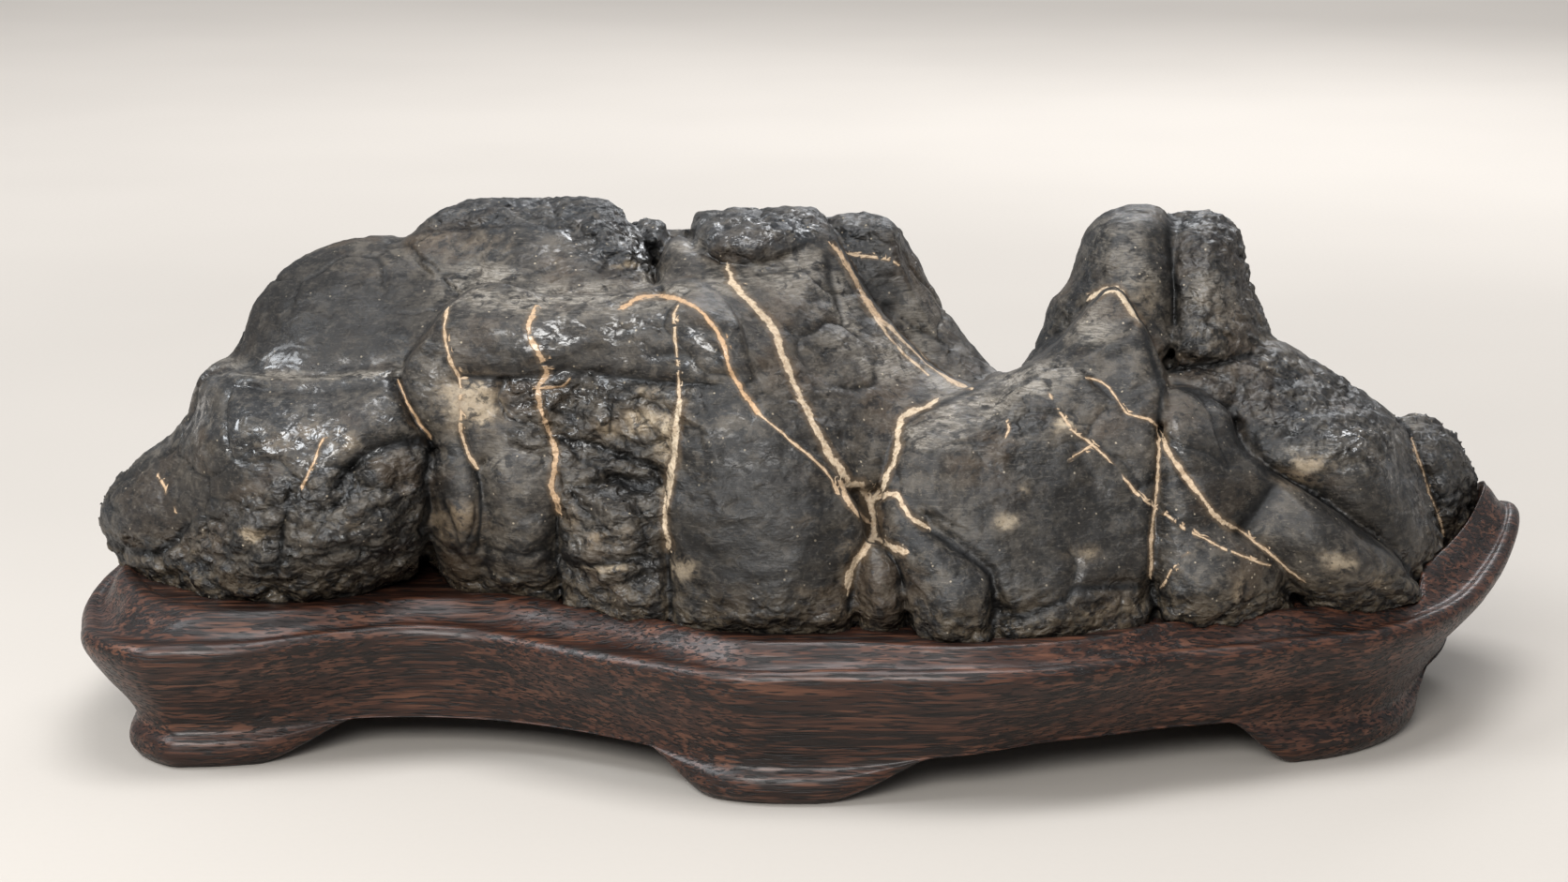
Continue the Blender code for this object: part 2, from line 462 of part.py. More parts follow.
def add_knobs(depth, at):
    """Raises the knobs of the wrinkled parts and the ledges of the broken faces."""
    for outline, rise, size in KNOBBLY.values():
        outline = np.array(outline, float)
        near = np.flatnonzero(((at > outline.min(0)) & (at < outline.max(0))).all(1) & np.isfinite(depth))
        fade = np.clip(inside_distance(outline, at[near]) / 18, 0, 1)
        for spot, strength in zip(near, fade):
            if strength > 0:
                where = Vector((*at[spot], depth[spot] / PX_MM)) * PX_MM / size
                cell = noise.voronoi(where)[0][0]
                depth[spot] += rise * strength * (cell * 1.6 - 0.6 - 0.5 * noise.noise(where * 0.45))
    for outline, rise, size in BROKEN.values():
        outline = np.array(outline, float)
        near = np.flatnonzero(((at > outline.min(0)) & (at < outline.max(0))).all(1) & np.isfinite(depth))
        fade = np.clip(inside_distance(outline, at[near]) / 20, 0, 1)
        for spot, strength in zip(near, fade):
            if strength > 0:
                where = (at[spot, 0] * PX_MM, depth[spot], -at[spot, 1] * PX_MM)
                depth[spot] += rise * strength * (0.55 - ledges(where, size))


def rim_distance(solid, step):
    """For each grid place in the stone, its distance in millimetres from the nearest place outside it.

    The stone is taken to run on below its lowest places, so that its foot isn't rounded.
    """
    rows, columns = solid.shape
    grown = solid.copy()
    for column in range(columns):
        filled = np.flatnonzero(solid[:, column])
        if len(filled) and FOOT_PX[0] < GRID_PX[0] + column * step < FOOT_PX[1]:
            grown[filled[-1]:, column] = True
    padded = np.pad(grown, ((1, 0), (1, 1)))
    near = padded.copy()
    near[1:] |= padded[:-1]
    near[:-1] |= padded[1:]
    near[:, 1:] |= padded[:, :-1]
    near[:, :-1] |= padded[:, 1:]
    edge = np.argwhere(near & ~padded).astype(np.float32) - 1
    spots = np.argwhere(solid).astype(np.float32)
    nearest = np.empty(len(spots), np.float32)
    for start in range(0, len(spots), 4000):
        block = spots[start:start + 4000]
        nearest[start:start + 4000] = np.sqrt(((block[:, None] - edge[None]) ** 2).sum(-1).min(1))
    distance = np.zeros((rows, columns))
    distance[solid] = nearest * step * PX_MM
    return distance


def back_sheet(at):
    """The depth of the sheet behind at picture points."""
    pegs = np.array(BACK_SHEET, float)
    return thin_plate(pegs[:, :2] / 100, pegs[:, 2], at / 100)


def back_depths(at, depth, rim):
    """The depth of the stone's back: a lumpy sheet, drawn in to the front along the silhouette."""
    sheet = back_sheet(at)
    lumps = [noise.noise(Vector((x / 95, y / 80, 3.0))) + 0.5 * noise.noise(Vector((x / 38, y / 34, 7.0)))
             for x, y in at]
    sheet += 5.0 * np.array(lumps)
    bulge = np.sqrt(1 - (1 - np.clip(rim / BACK_ROLL_MM, 0, 1)) ** 2)
    return depth + 1.6 + np.maximum(sheet - depth, 4.0) * bulge


def front_shell(step):
    """The stone as a closed mesh between the relief of its front and the sheet behind."""
    grid = picture_grid(step)
    at = grid.reshape(-1, 2)
    depth = relief(at)
    outline = np.array(OUTLINE, float)
    bare = ~np.isfinite(depth)
    bare[bare] = inside_distance(outline, at[bare]) > 0
    depth[bare] = back_sheet(at[bare]) - FILLING_MM
    add_strokes(depth, at)
    add_knobs(depth, at)
    depth = depth.reshape(grid.shape[:2])
    solid = np.isfinite(depth)
    rim = rim_distance(solid, step)
    lean = 1 - np.clip(rim / SILHOUETTE_ROLL_MM, 0, 1)
    depth = np.where(solid, depth, 0)
    back = back_depths(at, depth.reshape(-1), rim.reshape(-1)).reshape(depth.shape)
    depth += SILHOUETTE_ROLL_MM * (1 - np.sqrt(1 - lean**2 * 0.999))
    front = place(grid[..., 0], grid[..., 1], depth)
    behind = place(grid[..., 0], grid[..., 1], np.maximum(back, depth + 1.2))
    mesh = bmesh.new()
    number = {}
    for side, points in ((0, front), (1, behind)):
        for row, column in np.argwhere(solid):
            number[side, row, column] = mesh.verts.new(points[row, column] * MM)
    rows, columns = solid.shape
    cells = solid[:-1, :-1] & solid[1:, :-1] & solid[:-1, 1:] & solid[1:, 1:]
    for row, column in np.argwhere(cells):
        ring = [(row, column), (row + 1, column), (row + 1, column + 1), (row, column + 1)]
        mesh.faces.new([number[0, a, b] for a, b in ring])
        mesh.faces.new([number[1, a, b] for a, b in reversed(ring)])
    twin = {number[0, row, column]: number[1, row, column] for row, column in np.argwhere(solid)}
    for edge in [edge for edge in mesh.edges if edge.is_boundary and edge.verts[0] in twin]:
        loop = edge.link_loops[0]
        a, b = loop.vert, loop.link_loop_next.vert
        mesh.faces.new([b, a, twin[a], twin[b]])
    bmesh.ops.delete(mesh, geom=[vertex for vertex in mesh.verts if not vertex.link_faces], context="VERTS")
    return mesh


def new_object(name, mesh):
    data = bpy.data.meshes.new(name)
    mesh.to_mesh(data)
    mesh.free()
    made = bpy.data.objects.new(name, data)
    bpy.context.scene.collection.objects.link(made)
    return made


def settle(thing):
    """Replaces an object's mesh with what its modifiers make of it."""
    graph = bpy.context.evaluated_depsgraph_get()
    data = bpy.data.meshes.new_from_object(thing.evaluated_get(graph))
    thing.modifiers.clear()
    thing.data = data


def add_modifier(thing, name, kind, **values):
    made = thing.modifiers.new(name, kind)
    for key, value in values.items():
        setattr(made, key, value)
    return made


def keep_largest(mesh):
    """Drops every loose piece of a mesh but the largest."""
    left = set(mesh.verts)
    pieces = []
    while left:
        start = left.pop()
        piece, edge = {start}, [start]
        while edge:
            for link in edge.pop().link_edges:
                for vertex in link.verts:
                    if vertex in left:
                        left.discard(vertex)
                        piece.add(vertex)
                        edge.append(vertex)
        pieces.append(piece)
    biggest = max(pieces, key=len)
    bmesh.ops.delete(mesh, geom=[vertex for vertex in mesh.verts if vertex not in biggest], context="VERTS")


def cut_level(thing, height_mm, keep_above=True):
    """Cuts an object off level at a height, closes the cut and keeps the largest piece."""
    mesh = bmesh.new()
    mesh.from_mesh(thing.data)
    everything = mesh.verts[:] + mesh.edges[:] + mesh.faces[:]
    level = Vector((0, 0, height_mm * MM))
    cut = bmesh.ops.bisect_plane(mesh, geom=everything, plane_co=level, plane_no=(0, 0, 1),
                                 clear_inner=keep_above, clear_outer=not keep_above)
    rim = [item for item in cut["geom_cut"] if isinstance(item, bmesh.types.BMEdge)]
    bmesh.ops.holes_fill(mesh, edges=rim, sides=0)
    bmesh.ops.triangulate(mesh, faces=mesh.faces[:])
    keep_largest(mesh)
    mesh.to_mesh(thing.data)
    mesh.free()


def build_stone():
    """The stone: relief and back welded together, softened, thinned and cut level at its foot."""
    stone = new_object("scholars_rock", front_shell(RELIEF_STEP_PX))
    add_modifier(stone, "weld", "REMESH", mode="VOXEL", voxel_size=STONE_VOXEL_MM * MM)
    add_modifier(stone, "soften", "SMOOTH", factor=0.5, iterations=3)
    add_modifier(stone, "swell", "DISPLACE", strength=STONE_SWELL_MM * MM, mid_level=0.0)
    settle(stone)
    share = STONE_TRIANGLES / (2 * len(stone.data.polygons))
    add_modifier(stone, "thin", "DECIMATE", ratio=share, use_collapse_triangulate=True)
    settle(stone)
    cut_level(stone, STONE_FOOT_MM)
    return stone


# The stand's rim seen from above: the lip's place and height, the crest's height, how far the waist draws
# in, how broad the ledge between lip and crest is, and how high the arch stands below.
RIM = [
    (-158, -42, 29.5, 37, 12, 1.6, 9), (-146, -53, 30, 37, 11, 1.7, 9),
    (-134, -54, 30.5, 37, 10, 1.25, 9), (-119, -52, 30.5, 37, 10, 1.0, 9),
    (-98, -45, 31.5, 37, 8, 0.7, 9.5), (-82, -42, 31.5, 37, 6, 1.0, 9.5),
    (-67, -44, 30.5, 37, 6, 1.3, 9.5), (-54, -52, 30.5, 37, 9, 1.5, 9.5),
    (-41, -59, 30.5, 37, 9, 1.6, 9.5), (-28, -66, 30.5, 37, 8, 1.3, 9.5),
    (-10, -73, 30.5, 37, 6, 0.8, 9.5), (14, -74, 31, 37, 6, 0.8, 10), (38, -76, 31.5, 37, 9, 0.6, 11),
    (58, -73, 31.5, 37, 12, 0.6, 12), (74, -67, 31.5, 37, 11, 0.6, 12), (87, -60, 31, 37, 9, 0.75, 12),
    (103, -56, 31, 37, 9, 1.0, 12), (118, -50, 31, 37, 9, 0.9, 11), (133, -45, 31, 37, 10, 1.0, 10),
    (148, -35, 31.5, 38, 12, 1.15, 10), (161, -20, 33, 40, 15, 1.1, 10), (172, 0, 37, 44, 17, 0.95, 10),
    (179, 19, 42, 49, 18, 0.85, 10), (179, 37, 40, 46, 17, 0.9, 10), (166, 52, 34, 40, 13, 1.0, 10),
    (148, 61, 31, 37.5, 10, 1.0, 10), (122, 67, 30, 37, 8, 1.0, 10), (90, 68, 30, 37, 8, 0.9, 10),
    (58, 71, 30, 37, 8, 0.8, 10), (22, 76, 30, 37, 8, 0.9, 10), (-14, 75, 30, 37, 8, 0.9, 10),
    (-50, 71, 30, 37, 8, 0.9, 10), (-84, 64, 30, 37, 8, 0.8, 10), (-116, 59, 30, 37, 9, 1.0, 10),
    (-142, 49, 30, 37, 10, 1.1, 10), (-158, 32, 30, 37, 12, 1.1, 10), (-164, 12, 29, 37, 13, 1.0, 10),
    (-165, -9, 28, 37, 14, 1.0, 9), (-162, -27, 28.5, 37, 13, 1.3, 9),
]
STAND_SEGMENTS = 98
NECK_MM = 8.6
UNDERSIDE_MM = 14.0
SEAT_MM = 36.0
SEAT_GAP_MM = 0.55
CUTTER_TOP_MM = 60.0

# The feet round the rim: where each one starts and ends, counted in places of the list above. Each foot
# comes down over a short run at either end, the first part of it outside the foot.
FEET = {"left": (-1.3, 3.9), "middle": (8.75, 11.6), "right": (16.2, 20.6), "back_right": (24.9, 27.3),
        "back_left": (32.3, 34.7)}
FOOT_RUN = 1.15
FOOT_LEAD = 0.2
FOOT_DEPTH_MM = 15.0
PAD_BULGE_MM = 1.6

# Insets run square to the rim at first, and farther in towards a spine along the middle of the stand.
SQUARE_INSET_MM = 8.0
SPINE_MM = (-112.0, 122.0)


def rim_at(turn):
    """The rim's values at a place along the list, smoothly joined."""
    rim = np.array(RIM, float)
    start = int(math.floor(turn))
    along = turn - start
    a, b, c, d = (rim[(start + step) % len(rim)] for step in (-1, 0, 1, 2))
    bend, twist = 2 * a - 5 * b + 4 * c - d, 3 * b - a - 3 * c + d
    return 0.5 * (2 * b + (c - a) * along + bend * along**2 + twist * along**3)


def foot_at(turn):
    """One where a foot stands, none under the arches between, with rounded ends."""
    share = 0.0
    for start, end in FEET.values():
        for lap in (0, len(RIM)):
            along = (min(turn - lap - start, end - turn + lap) + FOOT_LEAD) / FOOT_RUN
            share = max(share, min(1.0, max(0.0, along)))
    return (share * share * (3 - 2 * share)) ** 0.75


def stand_ring(turn):
    """One upright section of the stand, over the rim and down to the foot or arch: inset, height."""
    lip, crest, waist, ledge, arch = rim_at(turn)[2:]
    foot = foot_at(turn)
    bare = 1 - foot
    neck = arch * bare + NECK_MM * foot
    floor = arch * bare
    bulge = PAD_BULGE_MM * foot
    return [
        (13.0 * ledge, SEAT_MM), (11.3 * ledge, crest), (9.6 * ledge, crest - 0.3),
        (7.9 * ledge, crest - 1.9), (6.2 * ledge, 0.4 * crest + 0.6 * lip), (4.2 * ledge, lip + 1.2),
        (2.4, lip + 1.6), (1.0, lip + 1.0), (0.15, lip - 0.6), (0.2 + 0.03 * waist, lip - 2.8),
        (0.18 * waist, lip - 5.5), (0.48 * waist, lip - 10.5), (0.84 * waist, lip - 16.0),
        (waist + 0.2, neck + 0.6),
        (waist - bulge, neck * bare + (neck - 2.4) * foot),
        ((waist + 0.4) * bare + (waist - 1.2 * bulge) * foot, floor + 3.2 * foot),
        ((waist + 1.0) * bare + (waist - 0.4) * foot, floor + 0.9 * foot),
        ((waist + 2.4) * bare + (waist + 1.6) * foot, floor),
    ]


def rim_turns(segments):
    """Places along the rim, closer together where a foot starts or ends."""
    fine = np.linspace(0, len(RIM), 4000, endpoint=False)
    crowd = np.ones(len(fine))
    for ends in FEET.values():
        for end in ends:
            crowd += 1.6 * np.exp(-(((fine - end) / (0.6 * FOOT_RUN)) ** 2))
    share = np.r_[0, np.cumsum(crowd)]
    return np.interp(np.arange(segments) * share[-1] / segments, share, np.r_[fine, len(RIM)])


def inward_at(turn):
    """A place on the rim seen from above, the way square into the stand, and the way to its spine."""
    spot = rim_at(turn)[:2]
    beyond = rim_at(turn + 1.5)[:2] - rim_at(turn - 1.5)[:2]
    beyond /= np.linalg.norm(beyond)
    to_spine = np.array([min(max(spot[0], SPINE_MM[0]), SPINE_MM[1]), 0.0]) - spot
    return spot, np.array([-beyond[1], beyond[0]]), to_spine


def build_stand():
    """The carved stand as one closed ring of sections, with its seat not yet cut."""
    mesh = bmesh.new()
    rings = []
    for turn in rim_turns(STAND_SEGMENTS):
        spot, direction, to_spine = inward_at(turn)
        to_spine /= np.linalg.norm(to_spine)
        section = stand_ring(turn)
        sole, floor = section[-1]
        section.append((sole + FOOT_DEPTH_MM * foot_at(turn), floor))
        section.append((sole + FOOT_DEPTH_MM * foot_at(turn) + 2.5, UNDERSIDE_MM))
        ring = []
        for inset, height in section:
            shallow = min(inset, SQUARE_INSET_MM)
            there = spot + direction * shallow + to_spine * (inset - shallow)
            ring.append(mesh.verts.new(Vector((*there, height)) * MM))
        rings.append(ring)
    for this, other in zip(rings, rings[1:] + rings[:1]):
        for row in range(len(this) - 1):
            mesh.faces.new([this[row], this[row + 1], other[row + 1], other[row]])
    mesh.faces.new([ring[0] for ring in rings])
    mesh.faces.new([ring[-1] for ring in reversed(rings)])
    bmesh.ops.triangulate(mesh, faces=mesh.faces[:])
    bmesh.ops.recalc_face_normals(mesh, faces=mesh.faces[:])
    return new_object("carved_stand", mesh)


def cut_seat(stand, stone):
    """Cuts the stone's own shape, a little enlarged, out of the stand's top."""
    mesh = bmesh.new()
    mesh.from_mesh(stone.data)
    mesh.normal_update()
    for vertex in mesh.verts:
        vertex.co += vertex.normal * vertex.calc_shell_factor() * SEAT_GAP_MM * MM
    cutter = new_object("seat_cutter", mesh)
    cut_level(cutter, CUTTER_TOP_MM, keep_above=False)
    cutter.hide_render = True
    cutter.display_type = "WIRE"
    add_modifier(stand, "seat", "BOOLEAN", operation="DIFFERENCE", solver="EXACT", object=cutter,
                 use_self=True)
    settle(stand)
    bpy.data.objects.remove(cutter)


def centre_on_origin(things):
    """Moves the meshes so that the middle of their common box, at its foot, is the origin."""
    corners = np.array([vertex.co for thing in things for vertex in thing.data.vertices])
    low, high = corners.min(0), corners.max(0)
    shift = Vector((-(low[0] + high[0]) / 2, -(low[1] + high[1]) / 2, -low[2]))
    for thing in things:
        thing.data.transform(Matrix.Translation(shift))
    return shift


def finish(thing, colour, roughness):
    """Gives an object its material and soft shading."""
    material = bpy.data.materials.new(thing.name)
    material.use_nodes = True
    surface = material.node_tree.nodes["Principled BSDF"]
    surface.inputs["Base Color"].default_value = (*colour, 1)
    surface.inputs["Roughness"].default_value = roughness
    surface.inputs["Metallic"].default_value = 0.0
    thing.data.materials.clear()
    thing.data.materials.append(material)
    thing.data.shade_smooth()
    thing.data.set_sharp_from_angle(angle=math.radians(40))


def clear_scene():
    for thing in list(bpy.data.objects):
        bpy.data.objects.remove(thing)


def main():
    clear_scene()
    stone = build_stone()
    stand = build_stand()
    cut_seat(stand, stone)
    finish(stone, STONE_COLOUR, STONE_ROUGHNESS)
    finish(stand, WOOD_COLOUR, WOOD_ROUGHNESS)
    return centre_on_origin([stone, stand])


SHIFT = main()
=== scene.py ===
"""The dark water-worn scholar's rock with pale veins in its carved hardwood stand, worked in full.

Shapes are worked out in millimetres about the same working origin as the solids, then moved into the frame.
"""

import math

import bmesh
import bpy
import numpy as np
from mathutils import Matrix, Vector, noise
from mathutils.bvhtree import BVHTree


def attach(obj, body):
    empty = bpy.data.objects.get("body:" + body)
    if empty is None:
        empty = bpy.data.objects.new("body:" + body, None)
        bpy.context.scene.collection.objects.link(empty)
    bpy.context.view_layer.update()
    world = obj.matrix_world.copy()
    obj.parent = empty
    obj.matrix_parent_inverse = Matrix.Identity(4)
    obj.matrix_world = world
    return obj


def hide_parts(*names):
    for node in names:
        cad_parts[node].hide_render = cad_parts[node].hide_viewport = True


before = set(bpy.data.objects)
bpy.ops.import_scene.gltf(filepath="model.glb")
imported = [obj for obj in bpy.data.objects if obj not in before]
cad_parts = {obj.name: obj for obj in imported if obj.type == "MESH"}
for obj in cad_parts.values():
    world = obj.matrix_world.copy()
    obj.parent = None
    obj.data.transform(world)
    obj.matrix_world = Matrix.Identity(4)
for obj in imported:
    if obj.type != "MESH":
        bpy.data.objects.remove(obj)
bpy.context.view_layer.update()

MM = 0.001

# The front of the stone is laid out on a picture of it. One picture point and a depth give one point in
# space.
PICTURE_CENTRE = (836.0, 470.5)
PICTURE_FOCAL = 3483.0
EYE_MM = (0.0, -747.0, 252.0)
SIGHT_TILT = math.radians(14)

# From the working origin to the middle of the solids' box.
MIDDLE_MM = (7.564, 0.038, 0.0)

STONE_FOOT_MM = 33.5
RELIEF_STEP_PX = 2.5
STONE_VOXEL_MM = 0.72
STONE_SWELL_MM = 0.3
STONE_TRIANGLES = 190000


def sight(px, py):
    """Directions of the sight lines through picture points."""
    across = (np.asarray(px, float) - PICTURE_CENTRE[0]) / PICTURE_FOCAL
    up = (PICTURE_CENTRE[1] - np.asarray(py, float)) / PICTURE_FOCAL
    cos, sin = math.cos(SIGHT_TILT), math.sin(SIGHT_TILT)
    return np.stack([across, cos + sin * up, cos * up - sin], -1)


def place(px, py, depth):
    """Points in millimetres on the sight lines through picture points, at the given Y."""
    ray = sight(px, py)
    reach = (np.asarray(depth, float) - EYE_MM[1]) / ray[..., 1]
    return np.array(EYE_MM) + ray * reach[..., None]


